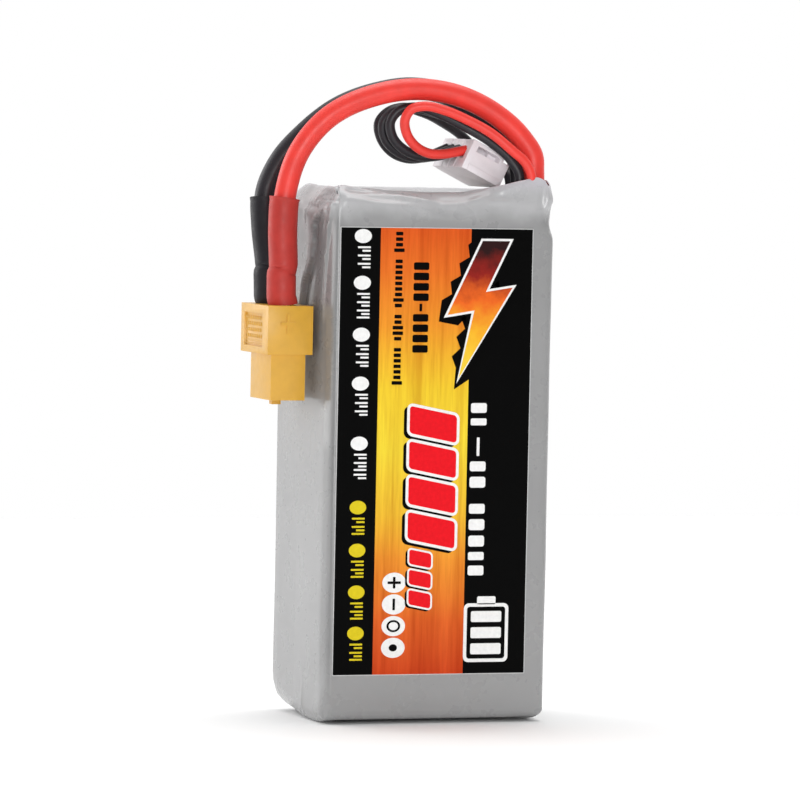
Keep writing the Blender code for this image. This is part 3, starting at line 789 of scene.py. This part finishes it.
def film_column(x, y, out_x, out_y, room):
    """One strip of the film, from the inner edge of its bottom lip to that of its top lip."""
    radius = film_bottom(x, y)
    frayed = BOTTOM_LIP + 0.7 * noise.noise(Vector((x * 0.3, y * 0.3, 1.3)))
    sag = -BELLY + 0.7 * ease(-y, 8.0, PACK_HIGH.y)
    strip = [(radius + frayed * (1 - k / LIP_ROWS), sag) for k in range(LIP_ROWS)]
    turns = [math.radians(90 * k / FOLD_ROWS) for k in range(FOLD_ROWS)]
    strip += [(radius * (1 - math.sin(a)), sag + (radius - sag) * (1 - math.cos(a)))
              for a in turns]
    foot_rows = len(strip)
    lean, crest, width, lip, dip = film_top(x, y, out_x, out_y)
    lean = max(lean, WALL_TOP + 0.4)
    levels = [WALL_BOTTOM + (WALL_MIDDLE - WALL_BOTTOM) * k / LOW_ROWS
              for k in range(LOW_ROWS + 1)]
    levels += [WALL_MIDDLE + (WALL_TOP - WALL_MIDDLE) * k / HIGH_ROWS
               for k in range(1, HIGH_ROWS + 1)]
    levels += [WALL_TOP + (lean - WALL_TOP) * k / 3 for k in (1, 2)]
    strip += [(0.0, z) for z in levels]
    for k in range(ARC_ROWS + 1):
        a = math.radians(90 * k / ARC_ROWS)
        strip.append((width * (1 - powered(math.cos(a), TOP_ROUNDNESS)),
                      lean + (crest - lean) * powered(math.sin(a), TOP_ROUNDNESS)))
    strip += [(width + lip * k / 8, crest - dip * ease(k, 0, 8)) for k in range(1, 9)]
    column = []
    for row, (inset, z) in enumerate(strip):
        inset = room * math.tanh(inset / room)
        px, py = x - out_x * inset, y - out_y * inset
        column.append((px, py, foot_height(px, py, radius, sag) if row < foot_rows else z))
    return column


# Folds pressed into the film near its top, each (start, end, width, height)
LEFT_FOLDS = (  # the gathered corner, measured from the front left corner of the top
    ((1.7, 0.6, -1.6), (1.9, 0.9, -1.3), 0.8, -0.7),
    ((2.6, 0.5, -1.8), (3.6, 0.6, -1.5), 0.4, 0.25),
    ((0.9, 1.0, -2.4), (0.1, 4.4, -3.6), 0.45, 0.42),
    ((0.1, 4.4, -3.6), (-0.1, 7.6, -5.4), 0.55, 0.40),
    ((0.9, 2.2, -1.8), (0.2, 8.5, -2.2), 0.45, 0.34),
    ((0.8, 2.4, -1.2), (0.2, 9.5, -1.4), 0.45, -0.42),
    ((0.9, 2.2, -0.6), (0.5, 9.0, -0.4), 0.42, 0.34),
    ((1.2, 2.2, -0.1), (1.4, 9.0, 0.3), 0.5, -0.36),
    ((0.1, 8.0, -3.2), (0.0, 17.0, -2.7), 0.6, -0.30),
    ((0.0, 8.5, -3.9), (0.0, 18.0, -3.4), 0.5, 0.22),
    ((1.3, 1.0, -2.2), (0.9, 1.6, -5.6), 0.38, 0.30),
    ((0.9, 1.6, -5.6), (0.4, 2.6, -7.4), 0.38, 0.24),
    ((0.2, 4.8, -5.6), (0.1, 5.4, -7.2), 0.32, 0.30),
    ((0.6, 0.9, -2.0), (0.0, 2.6, -6.2), 0.50, 0.38),
    ((0.0, 2.6, -6.2), (0.0, 3.6, -11.5), 0.55, 0.36),
    ((0.0, 3.6, -11.5), (0.0, 4.4, -22.0), 0.60, 0.32),
    ((0.6, 0.2, -1.7), (1.9, -0.1, -1.5), 0.30, 0.30),
    ((0.1, 1.6, -3.4), (0.1, 3.4, -6.0), 0.34, 0.30),
)
FRONT_FOLDS = (  # along the front: x and z of the pack, and y from its front face
    ((-17.9, 2.6, 91.2), (-10.2, 1.9, 90.2), 0.4, 0.24),
    ((-10.2, 1.9, 90.2), (-2.7, 1.0, 88.8), 0.45, 0.24),
    ((-2.7, 1.0, 88.8), (3.5, 0.5, 87.7), 0.5, 0.16),
    ((-16.5, 2.0, 90.5), (-6.0, 2.2, 89.9), 0.45, -0.22),
    ((-13.0, 1.0, 89.2), (-4.0, 0.7, 88.2), 0.5, -0.18),
    ((-16.0, 0.5, 88.6), (-9.0, 0.4, 87.9), 0.45, 0.20),
    ((0.0, 0.6, 87.9), (5.6, 1.0, 88.7), 0.45, 0.24),
    ((5.6, 1.0, 88.7), (11.1, 1.0, 90.5), 0.45, 0.28),
    ((11.1, 1.0, 90.5), (15.3, 0.9, 91.9), 0.45, 0.28),
    ((8.4, 0.5, 88.9), (16.7, 0.2, 88.6), 0.45, 0.26),
    ((9.5, 0.8, 89.7), (15.0, 0.4, 90.3), 1.0, -0.30),
    ((-3.0, 0.1, 86.9), (3.0, 0.1, 86.0), 0.9, 0.16),
    ((4.0, 0.1, 86.3), (14.0, 0.1, 87.0), 0.9, 0.14),
)
RIGHT_FOLDS = (  # the pinched corner, measured from the front right corner of the top
    ((-0.3, 0.4, -5.0), (-0.3, 0.4, -3.0), 1.6, -1.5),
    ((-1.6, 0.1, -2.4), (-1.1, 0.3, 2.0), 0.4, 0.30),
    ((-2.6, 0.1, -2.0), (-2.2, 0.3, 1.8), 0.5, -0.30),
    ((-0.2, 0.4, -1.4), (-0.2, 0.4, 0.6), 0.8, 0.35),
    ((-0.5, 0.1, -7.4), (-0.6, 0.1, -11.0), 0.7, 0.18),
)


def film_creases():
    """Every fold in the film: (start, end, width, height)."""
    front = PACK_LOW.y
    groups = (((PACK_LOW.x, front, PACK_HIGH.z), LEFT_FOLDS), ((0.0, front, 0.0), FRONT_FOLDS),
              ((PACK_HIGH.x, front, PACK_HIGH.z), RIGHT_FOLDS))
    placed = [(np.add(corner, start), np.add(corner, end), width, height)
              for corner, folds in groups for start, end, width, height in folds]
    return placed + rim_creases()


def rim_creases():
    """Smaller folds all round both ends, where the film gathers as it shrinks."""
    draw = random.Random(11)
    made = []
    half_x, half_y = PACK_HIGH.x, PACK_HIGH.y
    for k in range(60):
        side = k % 4
        place = draw.uniform(-0.92, 0.92)
        x, y = ((place * half_x, half_y), (half_x, place * half_y),
                (place * half_x, half_y), (-half_x, place * half_y))[side]
        if k % 3 == 0:
            start, end = 0.2, draw.uniform(1.8, 4.5)
        else:
            start, end = draw.uniform(84.5, 87.5), draw.uniform(88.5, 90.5)
        drift = draw.uniform(-4.0, 4.0)
        across = (drift, 0.0) if side in (0, 2) else (0.0, drift)
        made.append((np.array((x, y, start)), np.array((x + across[0], y + across[1], end)),
                     draw.uniform(0.4, 0.7), draw.uniform(-0.22, 0.26)))
    return made


# The step on the left side, by height: its y, running up into the gathered corner
STEP = ((66.0, 1.4), (70.4, 0.6), (72.1, 0.1), (74.2, -0.2), (75.7, -2.0), (77.4, -2.9),
        (78.8, -4.5), (79.9, -4.0), (81.8, -5.2), (83.0, -4.4), (84.5, -3.9), (85.4, -5.6),
        (86.7, -8.6), (88.1, -10.2))
EVEN_STEP = ((66.0, 1.4), (72.0, 0.0), (79.0, -4.0), (84.5, -4.8), (88.1, -10.2))
REAR_RISE, FRONT_DROP = 0.65, 0.50
# How dark the painted shade on the left corner is
CORNER_PAINTED_SHADE = 0.50


def ramped(value, zero_at, one_at):
    return np.clip((value - zero_at) / (one_at - zero_at), 0, 1)


def fading(distance, reach):
    return np.exp(-np.clip(distance, 0, None) / reach)


def switched(value, width):
    """0 well below zero and 1 well above it, turning over that width."""
    return 1 / (1 + np.exp(-value / width))


def left_fold(points):
    """The fold on the left side: the rear of it stands out and the front of it is drawn in,
    with a sharp wavy step between them. Gives the shift out and the painted tone: up to 1
    in front of the step, painted shade where the standing bulge and the leads shade the film,
    and down to -1 behind it, painted light on the bulge where the film stands off."""
    y, z = points[..., 1], points[..., 2]
    gap = y - along(STEP, z)
    even_gap = y - along(EVEN_STEP, z)
    front_edge = ramped(y - PACK_LOW.y, 1.4, 3.6)
    step = switched(gap, 0.16)
    rear = REAR_RISE * step * fading(gap, 9.0)
    front = FRONT_DROP * (1 - step) * fading(-even_gap, 1.7) * front_edge
    # Painted shade just in front of the step, fading forward, and painted light behind it, fading
    # rearward
    shaded = switched(0.40 - gap, 0.13)
    shade = shaded * fading(-gap, 0.8) * front_edge
    painted_light = (1 - shaded) * fading(gap, 6.0)
    fade = ramped(z, 62.0, 71.0) * ramped(z, 88.4, 85.4)
    fade = fade * fade * (3 - 2 * fade)
    return (rear - front) * fade, (shade - painted_light) * fade


def corner_painted_shade(points):
    """How much painted shade darkens the film where it is tight on the left corner."""
    x, y, z = points[..., 0], points[..., 1], points[..., 2]
    across = ramped(y, -9.7, -11.2) * ramped(x, -17.6, -19.2)
    return CORNER_PAINTED_SHADE * across * ramped(z, 4.0, 12.0) * ramped(z, 88.2, 85.2)


def film_normals(points, outward):
    around = np.roll(points, -1, axis=0) - np.roll(points, 1, axis=0)
    upward = np.gradient(points, axis=1)
    normals = np.cross(around, upward)
    normals /= np.linalg.norm(normals, axis=-1, keepdims=True) + 1e-12
    middle = points.shape[1] // 2
    if (normals[:, middle] * outward).sum() < 0:
        normals = -normals
    return normals


def film_shift(points, outward, fold):
    """How far the film stands out or is drawn in at each point of its smooth shape."""
    y, z = points[..., 1], points[..., 2]
    shift = np.zeros(y.shape)
    for start, end, width, height in film_creases():
        run = end - start
        share = np.clip(((points - start) @ run) / (run @ run), 0, 1)
        gap = np.linalg.norm(points - (start + share[..., None] * run), axis=-1)
        shift += height * (1 - 0.55 * share**2) * np.exp(-(gap / width) ** 2)
    bulge, hollow = ramped(y, 2.0, 10.0), ramped(y, 2.0, -12.0) ** 1.6
    shift += (fold + 0.45 * bulge - 0.60 * hollow) * leftness(outward)
    crinkle = np.array([[noise.ridged_multi_fractal(Vector(p) * 0.22, 0.9, 2.1, 4, 0.9, 1.6)
                         for p in column] for column in points])
    drift = np.array([[noise.noise(Vector(p) * 0.055) for p in column] for column in points])
    near_ends = ramped(z, 87.0, 90.0) + 0.6 * ramped(z, 4.0, 0.0)
    shift += (crinkle - 0.9) * 0.06 * near_ends + drift * 0.10
    shift *= ramped(z + BELLY, 0.5, 3.0)  # none on the underside
    under_label = ((outward[:, 1] < -0.9)[:, None] & (z > LABEL_LOW.z - 1.5)
                   & (z < LABEL_HIGH.z + 1.0))
    return np.where(under_label, np.minimum(shift, 0.0) * 0.2, shift)


def leftness(outward):
    return np.clip(-outward[:, 0], 0, 1)[:, None] ** 2


def build_film():
    section = section_points()
    points = np.array([film_column(*spot) for spot in section])
    outward = np.array([(spot[2], spot[3], 0.0) for spot in section])
    # The painted shade and painted light on the left side, with the left corner's painted shade
    # added
    fold, tone = left_fold(points)
    tone = tone * leftness(outward) + corner_painted_shade(points)
    shift = film_shift(points, outward, fold)
    points = points + film_normals(points, outward) * shift[..., None]
    points[..., 2] = np.maximum(points[..., 2], -BELLY)
    columns, rows = points.shape[:2]
    strips = [(c * rows, (c + 1) % columns * rows) for c in range(columns)]
    faces = [(one + r, two + r, two + r + 1, one + r + 1)
             for one, two in strips for r in range(rows - 1)]
    film = mesh_object("film_wrap", points.reshape(-1, 3).tolist(), faces, film_finish(),
                       smooth=60, turn_out=False)
    # The painted shade and the painted light, stored on the film's points
    for name, values in (("painted_shade", tone), ("painted_light", -tone)):
        layer = film.data.attributes.new(name, "FLOAT", "POINT")
        layer.data.foreach_set("value", np.clip(values, 0, 1).reshape(-1).astype(np.float32))
    adjust(film.modifiers.new("wall", "SOLIDIFY"), thickness=0.22 * MM, offset=-1.0)
    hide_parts("shrink_sleeve")
    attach(film, "root")


# --- printed label

LABEL_FACE = PACK_LOW.y - 0.12  # front of the label, on the film
LABEL_DEPTH = 0.17
LABEL_MARGIN = 0.14
LABEL_WIDTH = LABEL_HIGH.x - LABEL_LOW.x
LABEL_HEIGHT = LABEL_HIGH.z - LABEL_LOW.z
LAYER = 0.025
PANEL_LEFT = 7.3
PANEL_RIGHT = LABEL_WIDTH - 11.4
BOLT_PLACE = (PANEL_RIGHT + 1.5, 63.4)


def rounded_block(x, z, width, height, radius, slant=0.0):
    """Outline of a rounded rectangle about (x, z), its right side shifted down by slant."""
    outline = []
    for toward_x, toward_z, first in ((1, 1, 0), (-1, 1, 90), (-1, -1, 180), (1, -1, 270)):
        for k in range(6):
            a = math.radians(first + 90 * k / 5)
            across = toward_x * (width / 2 - radius) + radius * math.cos(a)
            up = toward_z * (height / 2 - radius) + radius * math.sin(a)
            outline.append((x + across, z + up - slant * across / width))
    return outline


def oval(x, z, width, height, sides=36):
    return [(x + width / 2 * math.cos(a), z + height / 2 * math.sin(a))
            for a in (2 * math.pi * k / sides for k in range(sides))]


def grown(outline, margin):
    """The outline pushed outward by margin, corner by corner."""
    count = len(outline)
    area = sum(outline[k][0] * outline[(k + 1) % count][1]
               - outline[(k + 1) % count][0] * outline[k][1] for k in range(count))
    turn = 1.0 if area > 0 else -1.0
    made = []
    for k in range(count):
        before = Vector(outline[k]) - Vector(outline[k - 1])
        after = Vector(outline[(k + 1) % count]) - Vector(outline[k])
        one = Vector((before.y, -before.x)).normalized() * turn
        two = Vector((after.y, -after.x)).normalized() * turn
        away = (one + two).normalized()
        made.append(tuple(Vector(outline[k]) + away * margin / max(0.45, away.dot(one))))
    return made


class Artwork:
    """Thin printed shapes on the label's face, gathered in one mesh. Places are measured from
    the label's lower left corner, and each shape is that many layers in front of the face."""

    def __init__(self, inks):
        self.made = bmesh.new()
        self.inks = inks
        self.used = []

    def add(self, ink, layer, outline, depth=0.02):
        if ink not in self.used:
            self.used.append(ink)
        rings = [[(LABEL_LOW.x + x, y, LABEL_LOW.z + z) for x, z in outline]
                 for y in (LABEL_FACE - LAYER * layer, LABEL_FACE + depth)]
        for face in extrude(self.made, *rings):
            face.material_index = self.used.index(ink)

    def block(self, ink, layer, *shape):
        self.add(ink, layer, rounded_block(*shape))

    def oval(self, ink, layer, *shape):
        self.add(ink, layer, oval(*shape))

    def place(self, name):
        bmesh.ops.recalc_face_normals(self.made, faces=self.made.faces)
        mesh = mesh_from(self.made, name)
        for ink in self.used:
            mesh.materials.append(self.inks[ink])
        return place_mesh(name, mesh)


def bars_down(art, ink, x, z, widths, heights, gap):
    """A column of plain bars in place of a line of print: widths across, heights down."""
    for width, height in zip(widths, heights):
        if width:
            art.block(ink, 2, x, z - height / 2, width, height, min(width, height) * 0.22)
        z -= height + gap


def strokes_down(art, ink, x, z, groups, long=2.3, short=1.5):
    """A line of print stood in for by groups of thin strokes, each a long and a short one."""
    for group in groups:
        for k in range(group):
            width = long if k % 2 == 0 else short
            shift = 0.0 if k % 2 == 0 else (long - short) / 2 * (1 if k % 4 == 1 else -1)
            art.block(ink, 2, x + shift, z - 0.16, width, 0.32, 0.08)
            z -= 0.6
        z -= 0.22


def build_label():
    inks = {name: print_finish(f"print_{name}", colour)
            for name, colour in PRINT_COLOURS.items()}
    inks["panel"] = panel_finish()
    inks["bolt"] = bolt_finish(BOLT_PLACE[1] - 12.2, BOLT_PLACE[1] + 12.0)
    paper = Artwork(inks)
    shape = (LABEL_WIDTH / 2, LABEL_HEIGHT / 2, LABEL_WIDTH, LABEL_HEIGHT, 0.25)
    paper.add("edge", 0, rounded_block(*shape), depth=LABEL_DEPTH)
    sheet = paper.place("label_sheet")
    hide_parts("front_label")
    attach(sheet, "root")

    art = Artwork(inks)
    low, high = LABEL_MARGIN, LABEL_HEIGHT - LABEL_MARGIN
    for ink, left, right in (("black", LABEL_MARGIN, PANEL_LEFT),
                             ("panel", PANEL_LEFT, PANEL_RIGHT),
                             ("black", PANEL_RIGHT, LABEL_WIDTH - LABEL_MARGIN)):
        art.add(ink, 1, [(left, low), (right, low), (right, high), (left, high)])
    build_cell_marks(art)
    build_gauge(art)
    build_discs(art)
    build_bolt(art)
    build_battery_sign(art)
    build_side_print(art)
    artwork = art.place("label_artwork")
    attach(artwork, "root")


def build_cell_marks(art):
    """The column of dots on the left strip, each with a short line of strokes below it."""
    for z, groups in ((75.6, (2, 2, 2)), (67.6, (2, 2, 3)), (58.7, (2, 2, 2)),
                      (50.3, (2, 2, 2)), (40.0, (2, 3, 2))):
        art.oval("white", 2, 4.1, z, 3.1, 2.4)
        strokes_down(art, "white", 4.35, z - 1.75, groups)
    for z in (29.0, 21.6, 14.4, 7.3):
        art.oval("yellow", 2, 4.1, z, 3.0, 2.35)
        strokes_down(art, "yellow", 4.2, z - 1.75, (2, 3))


def build_gauge(art):
    """A level gauge: four large slanted blocks and three small ones, outlined and shadowed."""
    large = [(17.5, 43.3 - 6.1 * k, 8.6, 4.7, 0.5) for k in range(4)]
    small = [(15.6, 20.1 - 3.5 * k, 4.0, 2.5, 0.32) for k in range(3)]
    for x, z, width, height, line in large + small:
        core = rounded_block(x, z, width, height, 0.7 * line + 0.25, width * 0.2)
        shade = [(a - 1.3 * line, b - 0.9 * line) for a, b in grown(core, line * 0.8)]
        art.add("black", 2, shade)
        art.add("white", 3, grown(core, line))
        art.add("red", 4, core)


def build_discs(art):
    """Four white discs with plain signs: plus, minus, ring and dot."""
    x, heights = 10.95, (16.0, 12.25, 8.5, 4.75)
    plus, minus, ring, dot = heights
    for z in heights:
        art.oval("white", 2, x, z, 4.3, 3.5)
    for z in (plus, minus):
        art.block("black", 3, x, z, 0.45, 2.0, 0.1)
    art.block("black", 4, x, plus, 2.4, 0.45, 0.1)
    art.oval("black", 3, x, ring, 2.5, 2.1)
    art.oval("white", 4, x, ring, 1.7, 1.4)
    art.oval("black", 3, x, dot, 1.5, 1.25)


def ragged(outline, near, far, step):
    """A spiky outline round another one: its corners pushed out by near, and the points
    between them by near and far in turn."""
    count = len(outline)
    path, reach = [], []
    for k in range(count):
        start, end = Vector(outline[k]), Vector(outline[(k + 1) % count])
        pieces = max(1, round((end - start).length / step))
        path += [tuple(start.lerp(end, j / pieces)) for j in range(pieces)]
        reach += [far if j % 2 else near for j in range(pieces)]
    inner, outer = grown(path, near), grown(path, far)
    return [outer[k] if reach[k] == far else inner[k] for k in range(len(path))]


def build_bolt(art):
    """A plain lightning bolt across the panel's edge, on a ragged black shape."""
    corners = ((5.6, 11.6), (0.6, 11.6), (-5.6, -1.2), (-0.7, -0.4), (-3.4, -12.2), (6.2, 3.6),
               (1.3, 2.8))
    core = [(BOLT_PLACE[0] + x, BOLT_PLACE[1] + z) for x, z in corners]
    top = LABEL_HEIGHT - LABEL_MARGIN
    art.add("black", 2, [(x, min(z, top)) for x, z in ragged(core, 0.9, 2.1, 1.7)])
    art.add("white", 3, grown(core, 0.40))
    art.add("bolt", 4, core)


def build_battery_sign(art):
    x, z = PANEL_RIGHT + 4.1, 7.2
    art.block("white", 2, x, z, 8.2, 10.2, 0.9)
    art.block("white", 2, x, z + 5.6, 3.4, 1.4, 0.3)
    art.block("black", 3, x, z, 7.0, 9.0, 0.5)
    for k in range(3):
        art.block("white", 4, x, z - 2.8 + 2.8 * k, 5.6, 1.9, 0.3)


def build_side_print(art):
    """Bars that stand where lines of print would be; a width of nothing is a space."""
    widths = (2.9, 2.9, 0.0, 0.5, 2.9, 2.9, 0.0, 2.9, 2.9, 2.9, 2.9, 2.9)
    heights = (1.7, 1.2, 0.2, 3.2, 1.7, 1.9, 0.9, 1.7, 1.9, 1.9, 1.4, 1.7)
    bars_down(art, "white", 25.8, 47.0, widths, heights, 0.95)
    widths = (2.8,) * 4 + (0.5,) + (2.8,) * 4
    bars_down(art, "black", 14.8, 71.2, widths, (1.3,) * 9, 0.48)
    draw = random.Random(4)
    widths = []
    for bars in (4, 9, 5, 7):
        widths += [draw.choice((1.3, 1.3, 1.9)) for _ in range(bars)] + [0.0]
    bars_down(art, "black", 10.7, 76.4, widths, (0.62,) * len(widths), 0.33)


# --- main leads


def in_mm(route):
    return [tuple(c / MM for c in p) for p in route]


def lead_path(route, trim, spacing):
    """From its solder joint on the board, up through the film and along the route, less trim
    at the plug."""
    route = in_mm(route)[::-1]
    joint = (route[0][0], route[0][1], BOARD_TOP + 0.4)
    dense = smooth_route([joint] + route)
    return stretch_of(dense, 0.0, route_length(dense) - trim, spacing)


def shrink_radius(share, angle):
    """Outer radius of a heat-shrink: over the cup, a crease, over the wire, and its mouth."""
    crease = SHRINK_CREASE / SHRINK_LENGTH
    cup = 2.50 - 0.06 * math.cos(2 * angle)
    wire = 2.46 + 0.10 * share + 0.02 * math.sin(3 * angle + 9 * share)
    shape = cup + (wire - cup) * ease(share, crease - 0.03, crease + 0.05)
    groove = 0.20 * math.exp(-((share - crease - 0.02) / 0.024) ** 2)
    mouth = 0.13 * ease(share, 0.965, 1.0) + 0.03 * math.sin(2 * angle) * ease(share, 0.9, 1)
    return shape - groove + mouth


def build_heatshrink(colour, route, finish):
    """Shrunk over the solder cup below and the wire above, with a crease between them."""
    path = stretch_of(smooth_route(in_mm(route)), 0.0, SHRINK_LENGTH, 0.3)
    path = [path[0] - Vector((0.0, 0.0, 0.26))] + path
    bent = []
    for p in path:
        run = (p - path[0]).length
        aside = 0.38 * ease(run, 0.0, 1.5) * (1 - ease(run, 5.2, 6.2))
        bent.append(p - Vector((aside, 0.0, 0.0)))
    piece = tube(f"shrink_tube_{colour}", bent, shrink_radius, 32, finish, wall=SHRINK_WALL)
    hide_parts(f"heatshrink_{colour}")
    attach(piece, "main_lead")
    return piece


def build_main_leads(plug):
    shrinks = {"red": shrink_finish("red_heatshrink", (0.48, 0.038, 0.030)),
               "black": shrink_finish("black_heatshrink", (0.014, 0.013, 0.017))}
    for colour, route in (("red", RED_ROUTE), ("black", BLACK_ROUTE)):
        path = lead_path(route, CUP_LENGTH, 0.55)
        lead = tube(f"lead_{colour}", path, lambda share, angle: LEAD_RADIUS, 28,
                    LEAD_RUBBERS[colour])
        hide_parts(f"main_lead_{colour}", f"main_tail_{colour}")
        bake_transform(lead)
        shrink = build_heatshrink(colour, route, shrinks[colour])


# --- main plug

GRIP_HEIGHT = 8.4
GRIP_CHAMFER = 0.6
NOSE_SIZE = (6.2, 14.0)
NOSE_CHAMFER = 2.6
NOSE_BOTTOM = 1.0  # above the boss's end
CONTACT_PITCH = 7.2
BORE_RADIUS = 2.3


def cut_corners(middle, size, chamfer):
    """Outline of the plug's section, with its two rear corners cut off."""
    half_x, half_y = size[0] / 2, size[1] / 2
    outline = ((half_x, -half_y), (half_x, half_y - chamfer), (half_x - chamfer, half_y),
               (-half_x + chamfer, half_y), (-half_x, half_y - chamfer), (-half_x, -half_y))
    return [(middle.x + x, middle.y + y) for x, y in outline]


def grip_recess(middle, side, low, high):
    """Cutter for the shallow finger recess on one wide side of the grip."""
    x = middle.x + side * (PLUG_HIGH.x - PLUG_LOW.x) / 2
    return block((x - 0.45, middle.y - 4.6, low + 1.2), (x + 0.45, middle.y + 5.6, high - 1.5))


def grip_ribs(middle, side, low):
    """Small domed studs in rows on the recess's floor, and two ribs below them."""
    floor_x = middle.x + side * ((PLUG_HIGH.x - PLUG_LOW.x) / 2 - 0.45)
    made = []
    front, rear = middle.y - 3.9, middle.y + 5.0
    columns, rows = 9, 4
    for c in range(columns):
        for r in range(rows):
            y = front + (rear - front) * (c + 0.5 * (r % 2)) / (columns - 0.5)
            z = low + 2.9 + 1.05 * r
            made.append(stud((floor_x, y, z), 0.36, 0.22))
    for z in (low + 1.55, low + 2.1):
        made.append(block((floor_x - 0.16, front - 0.2, z - 0.12),
                          (floor_x + 0.16, rear + 0.2, z + 0.12), edge=0.05))
    return made


def stud(place, radius, height):
    made = bmesh.new()
    bmesh.ops.create_icosphere(made, subdivisions=2, radius=1.0)
    shape = Matrix.Translation(Vector(place) * MM) @ Matrix.Diagonal(
        (height * MM, radius * MM, radius * MM, 1.0))
    bmesh.ops.transform(made, matrix=shape, verts=made.verts)
    return loose_object(made)


def build_main_plug():
    middle = (PLUG_LOW + PLUG_HIGH) / 2
    grip_size = (PLUG_HIGH.x - PLUG_LOW.x, PLUG_HIGH.y - PLUG_LOW.y)
    top, low = PLUG_HIGH.z, PLUG_HIGH.z - GRIP_HEIGHT
    grip = prism(cut_corners(middle, grip_size, GRIP_CHAMFER), low, top)
    nose = prism(cut_corners(middle, NOSE_SIZE, NOSE_CHAMFER), PLUG_LOW.z + NOSE_BOTTOM, low + 1)
    boss = block((middle.x - 0.8, middle.y - 0.8, PLUG_LOW.z),
                 (middle.x + 0.8, middle.y + 0.8, PLUG_LOW.z + 2))
    front, rear = PLUG_LOW.y, PLUG_HIGH.y
    sign = middle.x - 0.45
    plus = [block((sign - 1.35, front - 0.24, top - 3.3), (sign + 1.35, front + 0.5, top - 2.8)),
            block((sign - 0.25, front - 0.20, top - 4.75), (sign + 0.25, front + 0.4, top - 1.35))]
    minus = block((middle.x - 1.3, rear - 0.5, top - 3.3), (middle.x + 1.3, rear + 0.24, top - 2.8))
    bores = [rod((middle.x, middle.y + side * CONTACT_PITCH / 2, PLUG_LOW.z - 1),
                 (middle.x, middle.y + side * CONTACT_PITCH / 2, top + 1), BORE_RADIUS)
             for side in (-1, 1)]
    recesses = [grip_recess(middle, side, low, top) for side in (-1, 1)]
    plug = combine("main_plug", grip, [nose, boss], bores + recesses, YELLOW_NYLON, edge=0.16)
    ribs = [rib for side in (-1, 1) for rib in grip_ribs(middle, side, low)]
    merge(plug, ribs + [*plus, minus])
    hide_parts("main_plug_housing")
    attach(plug, "main_lead")
    return plug


# --- balance lead


def balance_place():
    turn = Matrix.Rotation(BALANCE_TURN, 4, "Z") @ Matrix.Rotation(BALANCE_DROP, 4, "Y")
    return Matrix.Translation(Vector(BALANCE_REAR_NEAR) * MM) @ turn


def build_balance_plug():
    """White four-way housing: side walls with a long slot, rails below, latch windows on top."""
    length, row, thick = BALANCE_SIZE
    half = thick / 2
    body = block((0, 0, -half), (length, row, half))
    pieces, holes = [], []
    for side, end in ((-1, 0.0), (1, row)):
        holes.append(block((1.3, end - 2.2, half - 1.75), (6.0, end + 2.2, half - 0.70)))
        near, far = sorted((end - side * 0.4, end + side * 0.22))
        pieces.append(block((0.9, near, -half), (length - 0.5, far, -half + 1.15)))
    holes.append(block((length - 1.3, -1, half - 1.15), (length + 1, row + 1, half + 1)))
    first = (row - 3 * BALANCE_PITCH) / 2
    for number in range(4):
        y = first + number * BALANCE_PITCH
        holes.append(block((-1, y - 0.95, -0.95), (length + 1, y + 0.95, 0.95)))
        holes.append(block((2.2, y - 0.6, 0.5), (4.3, y + 0.6, half + 1)))
        if number < 3:
            holes.append(block((-1, y + 1.1, -half - 1), (1.1, y + 1.4, half + 1)))
    plug = combine("balance_plug", body, pieces, holes, WHITE_NYLON, edge=0.13)
    plug.data.transform(balance_place())
    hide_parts("balance_plug_housing")
    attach(plug, "balance_lead")
    return plug


def build_balance_wires(plug):
    for key, route in BALANCE_ROUTES.items():
        colour = key.split("_")[0]
        route = route[::-1]
        path = lead_path(route, 0.0, 0.45)
        path.append(path[-1] + (path[-1] - path[-3]).normalized() * WIRE_ENTRY)
        wire = tube(f"thin_wire_{key}", path, lambda share, angle: WIRE_RADIUS, 16,
                    LEAD_RUBBERS[colour])
        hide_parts(f"balance_wire_{key}", f"balance_tail_{key}")
        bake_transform(wire)


# --- foam pads


def build_pad(node, finish, squeeze, edge):
    """A foam slab pressed by the film: rounded edges and an uneven top, a little lower."""
    low, high = box_of(node)
    made = box_mesh(low, high - Vector((0.0, 0.0, squeeze)), edge, 3)
    long_edges = [e for e in made.edges if e.calc_length() > 4 * MM]
    bmesh.ops.subdivide_edges(made, edges=long_edges, cuts=12, use_grid_fill=True)
    for vert in made.verts:
        if vert.co.z / MM > (low.z + high.z) / 2:
            vert.co.z += 0.35 * noise.noise(vert.co * 220) * MM
    pad = place_mesh(f"foam_{node}", mesh_from(made, f"foam_{node}"), 50)
    pad.data.materials.append(finish)
    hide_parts(node)
    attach(pad, "root")


# --- CAD pieces kept as they are


def finish_cad_pieces():
    foam = foam_finish()
    build_pad("end_pad", foam, 1.5, 0.8)
    build_pad("bottom_pad", foam, 0.0, 0.4)
    finishes = (("positive_tab", metal_finish("aluminium_tab", (0.78, 0.78, 0.80), 0.34)),
                ("negative_tab", metal_finish("nickel_tab", (0.62, 0.59, 0.52), 0.34)),
                ("main_contact", metal_finish("gold_contact", (0.90, 0.62, 0.22), 0.24)),
                ("balance_contact", metal_finish("tin_contact", (0.72, 0.72, 0.74), 0.3)),
                ("tab_board", board_finish()), ("cell_tape", foam), ("cell_", foil_finish()))
    for name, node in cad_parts.items():
        for part, finish in finishes:
            if part in name:
                node.material_slots[0].material = finish
                break


# --- assembly


def main():
    build_camera()
    build_studio()
    build_film()
    build_label()
    build_main_leads(build_main_plug())
    build_balance_wires(build_balance_plug())
    finish_cad_pieces()


main()
